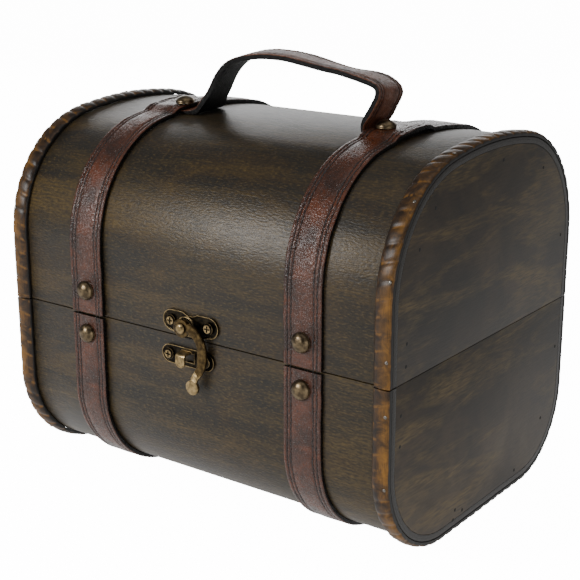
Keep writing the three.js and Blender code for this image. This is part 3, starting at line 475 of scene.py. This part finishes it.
def antique_brass(name, body, wear):
    """Stamped brass: a blackened or an olive gold skin in 2 mm clouds, a soft metal gloss and faint
    pitting, 0.6 mm apart."""
    material, tree, shader = start_material(name)
    place = add(tree, "ShaderNodeTexCoord").outputs["Object"]
    cloud = add(tree, "ShaderNodeTexNoise",
                {"Vector": place, "Scale": 450.0, "Detail": 4.0, "Roughness": 0.6})
    mask = add(tree, "ShaderNodeMapRange", {"Value": cloud, "From Min": 0.4, "From Max": 0.62})
    tone = add(tree, "ShaderNodeMix", {0: mask, 6: linear(body), 7: linear(wear)}, data_type="RGBA")
    gloss = add(tree, "ShaderNodeMapRange",
                {"Value": cloud, "From Min": 0.3, "From Max": 0.7, "To Min": 0.28, "To Max": 0.42})
    pits = add(tree, "ShaderNodeTexNoise", {"Vector": place, "Scale": 1800.0, "Detail": 2.0})
    relief = add(tree, "ShaderNodeBump", {"Height": pits, "Strength": 0.15, "Distance": 0.08 * MM})
    feed(tree, shader, {"Base Color": tone, "Roughness": gloss, "Metallic": 1, "Normal": relief})
    return material


def speckled(name, scale, stops, roughness, metallic=0):
    """A finish for small pieces: two tones in fine specks."""
    material, tree, shader = start_material(name)
    place = add(tree, "ShaderNodeTexCoord").outputs["Object"]
    speck = add(tree, "ShaderNodeTexNoise", {"Vector": place, "Scale": scale, "Detail": 2.0})
    tone = add(tree, "ShaderNodeValToRGB", {"Fac": speck}, stops=stops)
    feed(tree, shader, {"Base Color": tone, "Roughness": roughness, "Metallic": metallic})
    return material


# Tracks round the chest and what is drawn along them

# vertices closer than this are one, and edges that turn further than this look sharp
MERGE = 0.002 * MM
SHARP = math.radians(38)


def track(start, heading, runs, step, x=0.0):
    """Frames at most a step apart along straight runs and arcs that turn to the left in (y, z).
    Each is its distance along the track and a matrix of travel, +X and the outward normal."""
    place = Vector(start)
    along = 0.0
    frames = []

    def keep():
        travel = Vector((0, math.cos(heading), math.sin(heading)))
        outward = Vector((0, math.sin(heading), -math.cos(heading)))
        turn = Matrix((travel, Vector((1, 0, 0)), outward)).transposed().to_4x4()
        frames.append((along, Matrix.Translation((x, place.x, place.y)) @ turn))

    keep()
    for length, radius in runs:
        count = max(1, math.ceil(length / step))
        stretch = length / count
        for _ in range(count):
            bend = stretch / radius if radius else 0.0
            chord = 2 * radius * math.sin(bend / 2) if radius else stretch
            middle = heading + bend / 2
            place = place + Vector((math.cos(middle), math.sin(middle))) * chord
            heading += bend
            along += stretch
            keep()
    return frames


def chest_runs(half):
    """Where the outline of a half starts, its heading there and its straight runs and arcs."""
    if half == "base":
        bottom = 2 * HALF_DEPTH - FRONT_BOTTOM - REAR_BOTTOM
        top = SEAM - SEAM_GAP / 2
        runs = [
            (top - SHELL_BOTTOM - FRONT_BOTTOM, 0),
            (FRONT_BOTTOM * QUARTER, FRONT_BOTTOM),
            (bottom, 0),
            (REAR_BOTTOM * QUARTER, REAR_BOTTOM),
            (top - SHELL_BOTTOM - REAR_BOTTOM, 0),
        ]
        return (-HALF_DEPTH, top), 3 * QUARTER, runs
    corner_y = HALF_DEPTH - TOP_CORNER
    corner_rise = math.sqrt((CROWN - TOP_CORNER) ** 2 - corner_y ** 2)
    corner_angle = math.atan2(corner_rise, corner_y)
    wall = CROWN_CENTRE + corner_rise - SEAM - SEAM_GAP / 2
    runs = [
        (wall, 0),
        (TOP_CORNER * corner_angle, TOP_CORNER),
        (CROWN * (math.pi - 2 * corner_angle), CROWN),
        (TOP_CORNER * corner_angle, TOP_CORNER),
        (wall, 0),
    ]
    return (HALF_DEPTH, SEAM + SEAM_GAP / 2), QUARTER, runs


def chest_track(half, step, x=0.0, setback=0.0):
    """The frames along the outline of a half, its two ends drawn in by a setback."""
    start, heading, runs = chest_runs(half)
    shift = Vector((math.cos(heading), math.sin(heading))) * setback
    for end in (0, -1):
        length, radius = runs[end]
        runs[end] = (length - setback, radius)
    return track(Vector(start) + shift, heading, runs, step, x)


def sweep(section, frames, relief=None, sign=1):
    """A bmesh drawn along frames from a closed section of (across, height). Each vertex keeps its flat
    place on the strip; relief moves a vertex within its frame."""
    bm = bmesh.new()
    strip = bm.verts.layers.float_vector.new("strip")
    first = frames[0][1]
    ring = [bm.verts.new(first @ Vector((0, across, height))) for across, height in section]
    edges = [bm.edges.new(pair) for pair in zip(ring, ring[1:] + ring[:1])]
    rows = [list(ring)]
    for (_, before), (_, after) in zip(frames, frames[1:]):
        made = bmesh.ops.extrude_edge_only(bm, edges=edges)["geom"]
        ring = [item for item in made if isinstance(item, bmesh.types.BMVert)]
        edges = [item for item in made if isinstance(item, bmesh.types.BMEdge)]
        bmesh.ops.transform(bm, matrix=after @ before.inverted(), verts=ring)
        rows.append(ring)
    for index, ((along, place), row) in enumerate(zip(frames, rows)):
        back = place.inverted()
        for vert in row:
            _, across, height = back @ vert.co
            vert[strip] = (across * sign, along, height)
            if relief:
                vert.co = place @ relief(index, across * sign, along, height)
    for row in (rows[0], rows[-1]):
        bmesh.ops.contextual_create(bm, geom=rim_of(row))
    return bm


def rim_of(row):
    """The edges that join the vertices of one end of a sweep."""
    own = set(row)
    edges = dict.fromkeys(edge for vert in row for edge in vert.link_edges)
    return [edge for edge in edges if set(edge.verts) <= own]


def spun(profile, steps):
    """A bmesh turned from pairs of radius and height about +Z."""
    bm = bmesh.new()
    verts = [bm.verts.new((radius, 0, height)) for radius, height in profile]
    edges = [bm.edges.new(pair) for pair in zip(verts, verts[1:])]
    bmesh.ops.spin(bm, geom=verts + edges, cent=(0, 0, 0), axis=(0, 0, 1), angle=4 * QUARTER,
                   steps=steps, use_merge=True)
    bmesh.ops.remove_doubles(bm, verts=bm.verts, dist=MERGE)
    return bm


def piece(name, bm, body, materials, stands_for=None, turned=True):
    """Finishes a bmesh as an object that rides on a body and may stand for a CAD node."""
    if turned:
        bmesh.ops.recalc_face_normals(bm, faces=bm.faces)
    for face in bm.faces:
        face.smooth = True
    for edge in bm.edges:
        edge.smooth = len(edge.link_faces) == 2 and edge.calc_face_angle() < SHARP
    mesh = bpy.data.meshes.new(name)
    bm.to_mesh(mesh)
    bm.free()
    made = bpy.data.objects.new(name, mesh)
    for finish in materials:
        mesh.materials.append(finish)
    bpy.context.scene.collection.objects.link(made)
    if stands_for:
        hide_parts(stands_for)
    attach(made, body)


# Plywood shells and end boards

# what the boards gain in height and in depth, so that no light shows between them and the ply
BOARD_GROWTH = 0.36 * MM
SMALL_EASE = 0.15 * MM


def add_shell(half, finish):
    """A bent ply shell with eased rims."""
    worn = 0.4 * MM
    turn = 0.12 * MM
    rim = [(HALF_LENGTH - worn, 0), (HALF_LENGTH - turn, -turn), (HALF_LENGTH, -worn),
           (HALF_LENGTH, -PLY)]
    section = [(-across, height) for across, height in reversed(rim)] + rim
    bm = sweep(section, chest_track(half, 2 * MM))
    piece(f"{half}_ply", bm, half, [finish], f"{half}_shell")


def add_boards(finish):
    """The end boards, fitted close to the ply and to each other, with eased edges."""
    for half in HALVES:
        for side in SIDES:
            name = f"{half}_end_{side}"
            middle, size = middle_and_size(name)
            bm = merged_copy(name)
            scale_about(bm, middle, (1, 1 + BOARD_GROWTH / size.y, 1 + BOARD_GROWTH / size.z))
            ease(bm, SMALL_EASE)
            piece(f"{half}_board_{side}", bm, half, [finish], name, turned=False)


def middle_and_size(name):
    """The middle of a CAD node's box and the box's size."""
    low, high = (Vector(corner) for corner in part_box(name))
    return (low + high) / 2, high - low


def scale_about(bm, middle, factors):
    """Scales a bmesh about a point."""
    about = Matrix.Translation(middle) @ Matrix.Diagonal((*factors, 1)) @ Matrix.Translation(-middle)
    bmesh.ops.transform(bm, matrix=about, verts=bm.verts)


def merged_copy(name):
    """A CAD node's mesh in a bmesh, merged and with its flat faces whole."""
    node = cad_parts[name]
    bm = bmesh.new()
    bm.from_mesh(node.data)
    bmesh.ops.transform(bm, matrix=node.matrix_world, verts=bm.verts)
    bmesh.ops.remove_doubles(bm, verts=bm.verts, dist=MERGE)
    bmesh.ops.dissolve_limit(bm, angle_limit=math.radians(1), verts=bm.verts, edges=bm.edges)
    return bm


def ease(bm, size, material=-1, keep=None):
    """Eases the sharp edges of a bmesh; the new faces get a material, or that of their neighbours."""
    sharp = [edge for edge in bm.edges if edge.calc_face_angle(0) > math.radians(40)]
    if keep:
        sharp = [edge for edge in sharp if keep(edge)]
    bmesh.ops.bevel(bm, geom=sharp, offset=size, offset_type="OFFSET", affect="EDGES", segments=2,
                    profile=0.5, material=material, clamp_overlap=True)


# Cane rims

CANE_NICK = 0.6 * MM
CANE_STEP = 0.8 * MM
# the cut across a cane, from its inner edge: share of its width and height in mm
CANE_CUT = [
    (0, 0), (0, 1.1), (0.03, 1.5), (0.1, 1.95), (0.22, 2.3), (0.36, 2.5), (0.5, 2.6), (0.62, 2.62),
    (0.74, 2.55), (0.85, 2.4), (0.93, 2.2), (0.98, 1.95), (1, 1.6), (1, 0),
]


def cane_relief(sign, frames):
    """Rounded pads between nicks that lean a little across the cane, shallow on the straight walls."""
    def relief(index, across, along, height):
        up = (frames[index][1].to_3x3() @ Vector((0, 0, 1))).z
        depth = CANE_NICK * (0.35 + 0.65 * smooth(abs(up), 0.0, 0.35))
        phase = (along + across * CANE_LEAN / CANE_WIDTH) / CANE_PITCH
        away = abs(phase - round(phase)) * 2
        pad = 1 - (1 - min(1, away / 0.6)) ** 2
        # uneven by 0.15 mm in spots some 6 mm across
        swell = 0.15 * MM * noise.noise(Vector((across, along, 0)) * 180)
        raised = smooth(height, 0.6 * MM, 2.0 * MM)
        return Vector((0, sign * across, height + raised * (swell - depth * (1 - pad))))
    return relief


def add_cane(half, side, finish):
    """A split cane along the rim of one end, fuller towards the end of the chest."""
    sign = SIDES[side]
    section = [(sign * CANE_WIDTH * (share - 0.5), SEAT + height * MM) for share, height in CANE_CUT]
    frames = chest_track(half, CANE_STEP, sign * (HALF_LENGTH - CANE_WIDTH / 2))
    bm = sweep(section, frames, cane_relief(sign, frames), sign)
    for vert in bm.verts:
        vert.co.z = max(vert.co.z, 0)
    piece(f"{half}_cane_rim_{side}", bm, half, [finish], f"{half}_cane_{side}")


# Brads

BRAD_RADIUS = 0.8 * MM
# steps of 2 mm along the cane: to the first brad, and from one to the next
BRAD_FIRST = 6
BRAD_EVERY = 17
# from the middle of the cane towards the end of the chest, and up from the ply
BRAD_OUT = 2.6 * MM
BRAD_UP = 2.45 * MM
HOLE_RADIUS = 0.85 * MM
# the sunk brads on an end board: (y, z) in mm
BOARD_BRADS = [
    (-70.4, 94.3), (-73.3, 73.4), (-73.5, 59.5), (-23.6, 10.5), (-16.8, 7.8), (-25.1, 6.0), (35.1, 8.7),
    (-70.1, 104.2), (-61.9, 142.5), (-50.0, 157.7), (8.5, 168.2), (49.1, 158.0), (72.4, 120.6),
    (73.8, 62.3), (61.7, 27.5),
]


def add_brad(bm, place, radius, flattened):
    """Adds a flattened ball to a bmesh."""
    bmesh.ops.create_uvsphere(bm, u_segments=10, v_segments=6, radius=radius,
                              matrix=place @ Matrix.Diagonal((*flattened, 1)))


def add_cane_brads(half, side, finish):
    """Filed wire brads along the outer third of a cane, some 34 mm apart."""
    sign = SIDES[side]
    frames = chest_track(half, 2 * MM, sign * (HALF_LENGTH - CANE_WIDTH / 2))
    bm = bmesh.new()
    for _, place in frames[BRAD_FIRST::BRAD_EVERY]:
        spot = place @ Matrix.Translation((0, sign * BRAD_OUT, SEAT + BRAD_UP))
        # none under the chest, where they would reach the floor
        if spot.to_translation().z > 2 * MM:
            add_brad(bm, spot, BRAD_RADIUS, (1, 1, 0.35))
    piece(f"{half}_cane_brads_{side}", bm, half, [finish])


def add_board_brads(finish):
    """Near black discs on each end board, painted shade in the holes of brads driven below its face."""
    for half in HALVES:
        for side, sign in SIDES.items():
            bm = bmesh.new()
            for y, z in BOARD_BRADS:
                if (z * MM > SEAM) == (half == "lid"):
                    place = Matrix.Translation((sign * HALF_LENGTH, y * MM, z * MM))
                    add_brad(bm, place, HOLE_RADIUS, (0.1, 1, 1))
            piece(f"{half}_board_brads_{side}", bm, half, [finish])


# Leather bands

BAND_STEP = 1.4 * MM
BAND_SETBACK = 0.4 * MM
STITCH_PITCH = 2.7 * MM
# half of a stitch's length, width and height, and how deep its middle lies
STITCH_SIZE = (0.95 * MM, 0.26 * MM, 0.22 * MM)
STITCH_DEPTH = 0.2 * MM
# a strap's upper side from its edge: across and height in mm, with a groove under each seam row
LEATHER_CUT = [
    (0, -0.45), (0.08, -0.2), (0.3, -0.04), (0.8, 0.04), (1.4, 0.02), (1.75, -0.12), (2.1, -0.3),
    (2.45, -0.12), (2.8, 0.02), (3.4, 0.02), (3.75, -0.12), (4.1, -0.3), (4.45, -0.12), (4.9, 0.04),
    (6.6, 0.12), (8.4, 0.15),
]


def hump(place):
    """How far a band is lifted where it crosses the tucked end of the handle."""
    if (place.to_3x3() @ Vector((0, 0, 1))).z < 0.5:
        return 0
    beyond = abs(place.to_translation().y + HANDLE_FORWARD) - HANDLE_WIDTH / 2 - SEAT
    share = min(1, max(0, beyond / HUMP_RAMP))
    return FLAP_LIFT * 0.5 * (1 + math.cos(math.pi * share))


def leather_section(width, low, thickness):
    """A strap cut across: a square foot and a crowned upper side with eased edges."""
    half = width / 2
    top = low + thickness
    upper = [(-half + across * MM, top + height * MM) for across, height in LEATHER_CUT]
    upper += [(-across, height) for across, height in reversed(upper)]
    return [(half, low), (-half, low)] + upper


def leather_relief(seed, low, thickness, lifts=None, limit=1.0):
    """Soft waves along the band, crumples where it lies over the handle's ends and puckers between the
    stitches near its edges."""
    def relief(index, across, along, height):
        raised, loose = lifts[index] if lifts else (0, 0)
        share = smooth(height, low, low + thickness * 0.8)
        # waves some 20 mm long, crumples some 5 mm long and a cut edge that wanders every 9 mm
        wave = noise.noise(Vector((across * 60, along * 45, seed)))
        crumple = noise.noise(Vector((across * 230, along * 190, seed + 9)))
        edge = 0.22 * MM * noise.noise(Vector((along * 110, seed, 3 if across > 0 else 7)))
        pucker = math.cos(2 * math.pi * along / STITCH_PITCH) * smooth(abs(across), 5 * MM, 8 * MM)
        drawn = (edge - 0.12 * MM) * smooth(abs(across), 6 * MM, 9 * MM) * limit
        rise = (0.12 + 0.3 * loose) * MM * wave + (0.1 + 0.45 * loose) * MM * crumple
        rise += 0.06 * MM * pucker
        side = 1 if across > 0 else -1
        return Vector((0, across + side * drawn, height + share * rise + raised))
    return relief


def add_band(half, side, finish, thread):
    """One band over a half of the chest, with its seams."""
    frames = chest_track(half, BAND_STEP, BAND_CENTRES[side], BAND_SETBACK)
    lifts = [(hump(place), hump(place) / FLAP_LIFT) for _, place in frames]
    relief = leather_relief(11 * len(half) + 5 * len(side), SEAT, BAND_THICKNESS, lifts)
    bm = sweep(leather_section(BAND_WIDTH, SEAT, BAND_THICKNESS), frames, relief)
    piece(f"{half}_band_{side}", bm, half, [finish], f"{half}_strap_{side}")
    stitches = sewn(frames, BAND_WIDTH, SEAT + BAND_THICKNESS, lifts)
    piece(f"{half}_band_{side}_seams", stitches, half, [thread])


def sewn(frames, width, top, lifts=None):
    """A bmesh of single stitches sunk in the grooves of a strap."""
    seed = bmesh.new()
    bmesh.ops.create_uvsphere(seed, u_segments=6, v_segments=4, radius=1)
    stitch = bpy.data.meshes.new("stitch")
    seed.to_mesh(stitch)
    seed.free()
    total = frames[-1][0]
    count = int(total / STITCH_PITCH)
    size = Matrix.Diagonal((*STITCH_SIZE, 1))
    bm = bmesh.new()
    index = 0
    for number in range(count):
        along = (number + 0.5) * total / count
        while frames[index][0] < along:
            index += 1
        raised = lifts[index][0] if lifts else 0
        height = top + raised - STITCH_DEPTH
        for row in STITCH_ROWS:
            for side in (-1, 1):
                spot = Matrix.Translation((0, side * (width / 2 - row), height))
                one = stitch.copy()
                one.transform(frames[index][1] @ spot @ size)
                bm.from_mesh(one)
                bpy.data.meshes.remove(one)
    bpy.data.meshes.remove(stitch)
    return bm


# Strap handle, as in the part's source

# the line of the free strap: shares of the gap between the bands and of the rise
HANDLE_LINE = [
    (0.099, 0.195), (0.121, 0.326), (0.138, 0.456), (0.153, 0.57), (0.174, 0.684), (0.202, 0.792),
    (0.24, 0.879), (0.296, 0.945), (0.376, 0.99), (0.46, 1), (0.553, 0.984), (0.65, 0.932),
    (0.759, 0.866), (0.834, 0.84), (0.914, 0.811), (0.966, 0.772), (1.011, 0.717), (1.038, 0.638),
    (1.036, 0.531), (1.022, 0.427), (1.011, 0.336), (0.999, 0.248), (0.988, 0.163),
]
# degrees of twist about it, from its foot on
HANDLE_TWISTS = [
    0, 8, 13, 14, 14, 14, 13, 12, 11, 9.5, 7, 5, 3.5, 1.5, 1.5, 5, 5, 2, -2, -4.5, -4.5, -4, -2, 0, 0,
]
# the strap leans to the rear by the angle, all of it from this rise on
HANDLE_TILT = math.radians(10.8)
TILT_RISE = 12 * MM
# radius of the bend at its right foot and the gap from there to the band
HANDLE_BEND = 2.2 * MM
HANDLE_EDGE_GAP = 0.9 * MM
# where its left foot leaves the crown, as a share of the gap between the bands
HANDLE_FOOT = 0.08
# how far inside a band's outer edge a tucked end stops, and how far outside its inner edge it is thin
FLAP_SHORT = 2 * MM
FLAP_OUT = 1 * MM
HANDLE_LEAN = math.asin(HANDLE_FORWARD / CROWN)
# the middle of the crown's curve, turned so that +Z leads out to the handle
CROWN_SEAT = Matrix.Translation((0, 0, CROWN_CENTRE)) @ Matrix.Rotation(HANDLE_LEAN, 4, "X")


def catmull(points, place):
    """A point on the even spline through points, place counting from 0 at the first."""
    last = len(points) - 1
    low = min(int(place), last - 1)
    share = place - low
    before, start, end, after = (points[min(max(low + i, 0), last)] for i in (-1, 0, 1, 2))
    leaving = (end - before) * 0.5
    arriving = (after - start) * 0.5
    return ((2 * start - 2 * end + leaving + arriving) * share ** 3
            + (-3 * start + 3 * end - 2 * leaving - arriving) * share ** 2 + leaving * share + start)


def handle_stops():
    """Stops along the strap: place in (x, rise from the crown's centre), twist and thickness."""
    left = BAND_CENTRES["left"] + BAND_WIDTH / 2
    right = BAND_CENTRES["right"] - BAND_WIDTH / 2
    gap = right - left
    low = CROWN + SEAT + FLAP_THICKNESS / 2
    bend_x = right - HANDLE_EDGE_GAP - FLAP_THICKNESS / 2 + HANDLE_BEND
    foot = Vector((left + gap * HANDLE_FOOT, CROWN + SEAT + HANDLE_THICKNESS / 2))
    knots = [foot] + [Vector((left + gap * a, CROWN + HANDLE_RISE * u)) for a, u in HANDLE_LINE]
    knots.append(Vector((bend_x - HANDLE_BEND, low + HANDLE_BEND)))
    stops = [(Vector((left - BAND_WIDTH + FLAP_SHORT, low)), 0, FLAP_THICKNESS)]
    taper = Vector((left + FLAP_OUT, low))
    stops += [(stops[0][0].lerp(taper, i / 8), 0, FLAP_THICKNESS) for i in range(1, 9)]
    for i in range(1, 6):
        share = i / 6
        stops.append((taper.lerp(foot, share), 0,
                      FLAP_THICKNESS + (HANDLE_THICKNESS - FLAP_THICKNESS) * share))
    steps = 8
    last = len(knots) - 1
    for i in range(last * steps + 1):
        place = i / steps
        index = min(int(place), last - 1)
        here, ahead = HANDLE_TWISTS[index:index + 2]
        twist = here + (ahead - here) * (place - index)
        thick = HANDLE_THICKNESS + (FLAP_THICKNESS - HANDLE_THICKNESS) * smooth(place / last, 0.9, 1)
        stops.append((catmull(knots, place), math.radians(twist), thick))
    for i in range(1, 9):
        angle = math.pi + QUARTER * i / 8
        centre = Vector((bend_x, low + HANDLE_BEND))
        stops.append((centre + Vector((math.cos(angle), math.sin(angle))) * HANDLE_BEND, 0,
                      FLAP_THICKNESS))
    end = Vector((right + BAND_WIDTH - FLAP_SHORT, low))
    start = stops[-1][0]
    stops += [(start.lerp(end, i / 10), 0, FLAP_THICKNESS) for i in range(1, 11)]
    return stops


def softened(stops, rounds):
    """The same stops with their corners eased."""
    for _ in range(rounds):
        places = [stop[0] for stop in stops]
        eased = [places[0]] + [
            before.lerp(after, 0.5).lerp(here, 0.5)
            for before, here, after in zip(places, places[1:], places[2:])
        ] + [places[-1]]
        stops = [(place, twist, thick) for place, (_, twist, thick) in zip(eased, stops)]
    return stops


def handle_frames():
    """Frames along the handle: travel, across the strap to the rear and outward."""
    stops = softened(handle_stops(), 10)
    frames = []
    thicknesses = []
    along = 0.0
    for i, (place, twist, thick) in enumerate(stops):
        before = stops[max(i - 1, 0)][0]
        after = stops[min(i + 1, len(stops) - 1)][0]
        if i:
            along += (place - stops[i - 1][0]).length
        direction = (after - before).normalized()
        travel = Vector((direction.x, 0, direction.y))
        outward = Vector((-direction.y, 0, direction.x))
        across = Vector((0, 1, 0)) * math.cos(twist) + outward * math.sin(twist)
        base = Matrix((travel, across, travel.cross(across))).transposed()
        rise = place.y - CROWN
        tilt = HANDLE_TILT * smooth(rise, 0, TILT_RISE)
        lean = Matrix.Translation((0, 0, CROWN)) @ Matrix.Rotation(-tilt, 4, "X")
        local = Matrix.Translation((place.x, 0, rise)) @ base.to_4x4()
        frames.append((along, CROWN_SEAT @ lean @ local))
        thicknesses.append(thick)
    return frames, thicknesses


def add_handle(finish, thread):
    """The bent, stitched strap between the bands, its thin ends under them."""
    frames, thicknesses = handle_frames()
    half = HANDLE_THICKNESS / 2
    soft = leather_relief(77, -half, HANDLE_THICKNESS, limit=0)

    def relief(index, across, along, height):
        moved = soft(index, across, along, height)
        moved.z *= thicknesses[index] / HANDLE_THICKNESS
        return moved

    bm = sweep(leather_section(HANDLE_WIDTH, -half, HANDLE_THICKNESS), frames, relief)
    piece("handle_strap", bm, "lid", [finish], "carry_handle")
    free = [stop for stop, thick in zip(frames, thicknesses) if thick > HANDLE_THICKNESS * 0.98]
    start = free[0][0]
    stitches = sewn([(along - start, place) for along, place in free], HANDLE_WIDTH, half)
    piece("handle_strap_seams", stitches, "lid", [thread])


# Domed nails

NAIL_RADIUS = 4.7 * MM
NAIL_DOME = 3.5 * MM
NAIL_RIM = 0.5 * MM
NAIL_STEPS = 13
NAIL_SIDES = 40
NAIL_DENT = 0.1 * MM
NAIL_HEIGHTS = {"base": SEAM - 9.5 * MM, "lid": SEAM + 12 * MM}
NAIL_FORWARD = 4.8 * MM
HANDLE_NAILS = {"left": -54.2 * MM, "right": 63.4 * MM}


def nail_mesh(matrix, seed):
    """A pressed dome with a rolled rim, its foot at height 0, hammered a little out of true."""
    turn = 0.15 * MM
    profile = [(0, 0), (NAIL_RADIUS - turn, 0), (NAIL_RADIUS, turn), (NAIL_RADIUS, NAIL_RIM - 0.1 * MM)]
    for step in range(NAIL_STEPS):
        angle = QUARTER * step / NAIL_STEPS
        # the first step draws a fine groove between the rim and the dome
        profile.append((NAIL_RADIUS * math.cos(angle) * (0.985 if step == 0 else 1),
                        NAIL_RIM + (NAIL_DOME - NAIL_RIM) * math.sin(angle)))
    profile.append((0, NAIL_DOME))
    bm = spun(profile, NAIL_SIDES)
    for vert in bm.verts:
        dent = noise.noise(vert.co * 420 + Vector((seed, 0, 0)))
        vert.co.z += NAIL_DENT * dent * smooth(vert.co.z, NAIL_RIM, NAIL_DOME)
    bmesh.ops.transform(bm, matrix=matrix, verts=bm.verts)
    return bm


def add_nails(finish):
    """Nails through the ends of the bands and through the handle's ends."""
    top = SEAT + BAND_THICKNESS + SEAT
    seed = 0
    for half, height in NAIL_HEIGHTS.items():
        for side, x in BAND_CENTRES.items():
            for wall, sign in WALLS.items():
                seed += 3
                place = Matrix.Translation((x, sign * (HALF_DEPTH + top), height))
                turn = Matrix.Rotation(-sign * QUARTER, 4, "X")
                bm = nail_mesh(place @ turn, seed)
                piece(f"dome_nail_{half}_{wall}_{side}", bm, half, [finish],
                      f"{half}_nail_{wall}_{side}")
    stack = CROWN + FLAP_LIFT + top
    for side, x in HANDLE_NAILS.items():
        place = CROWN_SEAT @ Matrix.Translation((x, -NAIL_FORWARD, stack))
        bm = nail_mesh(place, 40 + len(side))
        piece(f"dome_nail_handle_{side}", bm, "lid", [finish], f"handle_nail_{side}")


# Latch and hinges

HOOK_EASE = 0.45 * MM
FIELD_RIM = 0.34 * MM
FIELD_WALL = 0.2 * MM
FIELD_DEPTH = 0.3 * MM
# only the front of a latch plate is a flat this large, in square metres
FIELD_AREA = 20e-6
# how much of its CAD size a stamped plate keeps across and up, and a screw both ways
PLATE_SHARES = (0.95, 1, 0.91)
SCREW_SHARES = (0.95, 1, 0.95)
# the hook's thumb disc lies below the first, the catch's tongue in front of the second
THUMB_TOP = SEAM - 15 * MM
TONGUE_ROOT = -82.4 * MM


def dress_fittings(dark, worn, browned):
    """Latch and hinge parts: the CAD shapes with sunk fields, eased and rubbed edges."""
    for name in list(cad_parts):
        if not any(word in name for word in ("hinge", "catch", "hook")):
            continue
        body = "lid" if any(word in name for word in ("lid", "hook", "pin")) else "base"
        if name == "latch_hook":
            body = "hook"
        bm = merged_copy(name)
        if name in ("catch_plate", "hook_plate"):
            sink_field(bm)
        # the eased edges are rubbed bright
        ease(bm, HOOK_EASE if name == "latch_hook" else SMALL_EASE, material=1,
             keep=outer_rim(name) if "screw" in name else None)
        for face in bm.faces:
            if rubbed(name, face):
                face.material_index = 1
        draw_in(bm, name)
        skin = browned if name == "latch_hook" else dark
        piece(f"dressed_{name}", bm, body, [skin, worn], name, turned=False)


def outer_rim(name):
    """A test for the edges round a screw's head, which leaves its cross slot sharp."""
    hub, size = middle_and_size(name)
    reach = size.x * 0.42
    return lambda edge: all(
        math.hypot(vert.co.x - hub.x, vert.co.z - hub.z) > reach for vert in edge.verts)


def draw_in(bm, name):
    """Draws a latch plate and its screws in to the size of the stamped part, inside the CAD outline."""
    if name.startswith(("hook_plate", "hook_screw", "catch")):
        middle, _ = middle_and_size("hook_plate" if name.startswith("hook") else "catch_plate")
        scale_about(bm, middle, SCREW_SHARES if "screw" in name else PLATE_SHARES)


def sink_field(bm):
    """Sinks the front of a plate inside a raised rim, which is rubbed bright."""
    front = [face for face in bm.faces if face.normal.y < -0.999 and face.calc_area() > FIELD_AREA]
    made = bmesh.ops.inset_region(bm, faces=front, thickness=FIELD_RIM, depth=0, use_even_offset=True,
                                  use_boundary=True)["faces"]
    for face in made:
        face.material_index = 1
    bmesh.ops.inset_region(bm, faces=front, thickness=FIELD_WALL, depth=-FIELD_DEPTH,
                           use_even_offset=True, use_boundary=True)


def rubbed(name, face):
    """Whether a face is rubbed bright: the thumb disc, the tongue, the screws' fronts and the rivet."""
    middle = face.calc_center_median()
    if name == "latch_hook":
        return middle.z < THUMB_TOP
    if name == "catch_plate":
        return middle.y < TONGUE_ROOT
    if "screw" in name:
        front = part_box(name)[0][1]
        return face.normal.y < -0.9 and middle.y < front + 0.2 * MM
    return name == "hook_rivet"


# Assembly

place_camera()
light_stage()

shell_finish = stained_plywood()
board_finish = stained_board()
cane_finish = scorched_cane()
# the bands keep their glaze, and the handle is duller and paler: partly worn by hands, partly painted
# light on its top and inner side
band_finish = oxblood_leather(
    "oxblood_glazed_leather", BAND_WIDTH / 2, SEAT + BAND_THICKNESS,
    tones=[(0.34, "#251209"), (0.5, "#3f1f0f"), (0.66, "#562b16")], dull=0.42, bright=0.19, glaze=0.08)
handle_wear_and_painted_light_finish = oxblood_leather(
    "oxblood_handle_leather_worn_and_painted_light", HANDLE_WIDTH / 2, HANDLE_THICKNESS / 2,
    tones=[(0.34, "#3a1d10"), (0.5, "#57301c"), (0.66, "#70442c")], dull=0.6, bright=0.38, glaze=0.0)
# waxed linen thread, near black brown: matt twisted strands 0.4 mm apart
thread_finish = speckled("waxed_linen_thread", 2500.0, [(0.35, "#140c0a"), (0.65, "#33201a")], 0.6)
# wire brads, filed off: grey iron with a bright cut face and file marks 0.3 mm apart
iron_finish = speckled("filed_iron_brads", 3000.0, [(0.3, "#4a4743"), (0.7, "#8b8780")], 0.35, 1)
# painted shade: the near black holes of brads driven below the surface, matt, in 0.5 mm specks
hole_shade_finish = speckled("brad_hole_painted_shade", 2000.0, [(0.3, "#040403"), (0.7, "#0e0c0a")], 0.8)
nail_finish = antique_brass("antiqued_brass_nails", "#453b2e", "#6f6049")
dark_finish = antique_brass("blackened_stamped_brass", "#141210", "#2e281d")
worn_finish = antique_brass("rubbed_stamped_brass", "#6e5e42", "#9c8660")
bronze_finish = antique_brass("browned_stamped_brass", "#33291a", "#5b4a2e")

for half in HALVES:
    add_shell(half, shell_finish)
    for side in SIDES:
        add_cane(half, side, cane_finish)
        add_cane_brads(half, side, iron_finish)
        add_band(half, side, band_finish, thread_finish)
add_boards(board_finish)
add_board_brads(hole_shade_finish)
add_handle(handle_wear_and_painted_light_finish, thread_finish)
add_nails(nail_finish)
dress_fittings(dark_finish, worn_finish, bronze_finish)
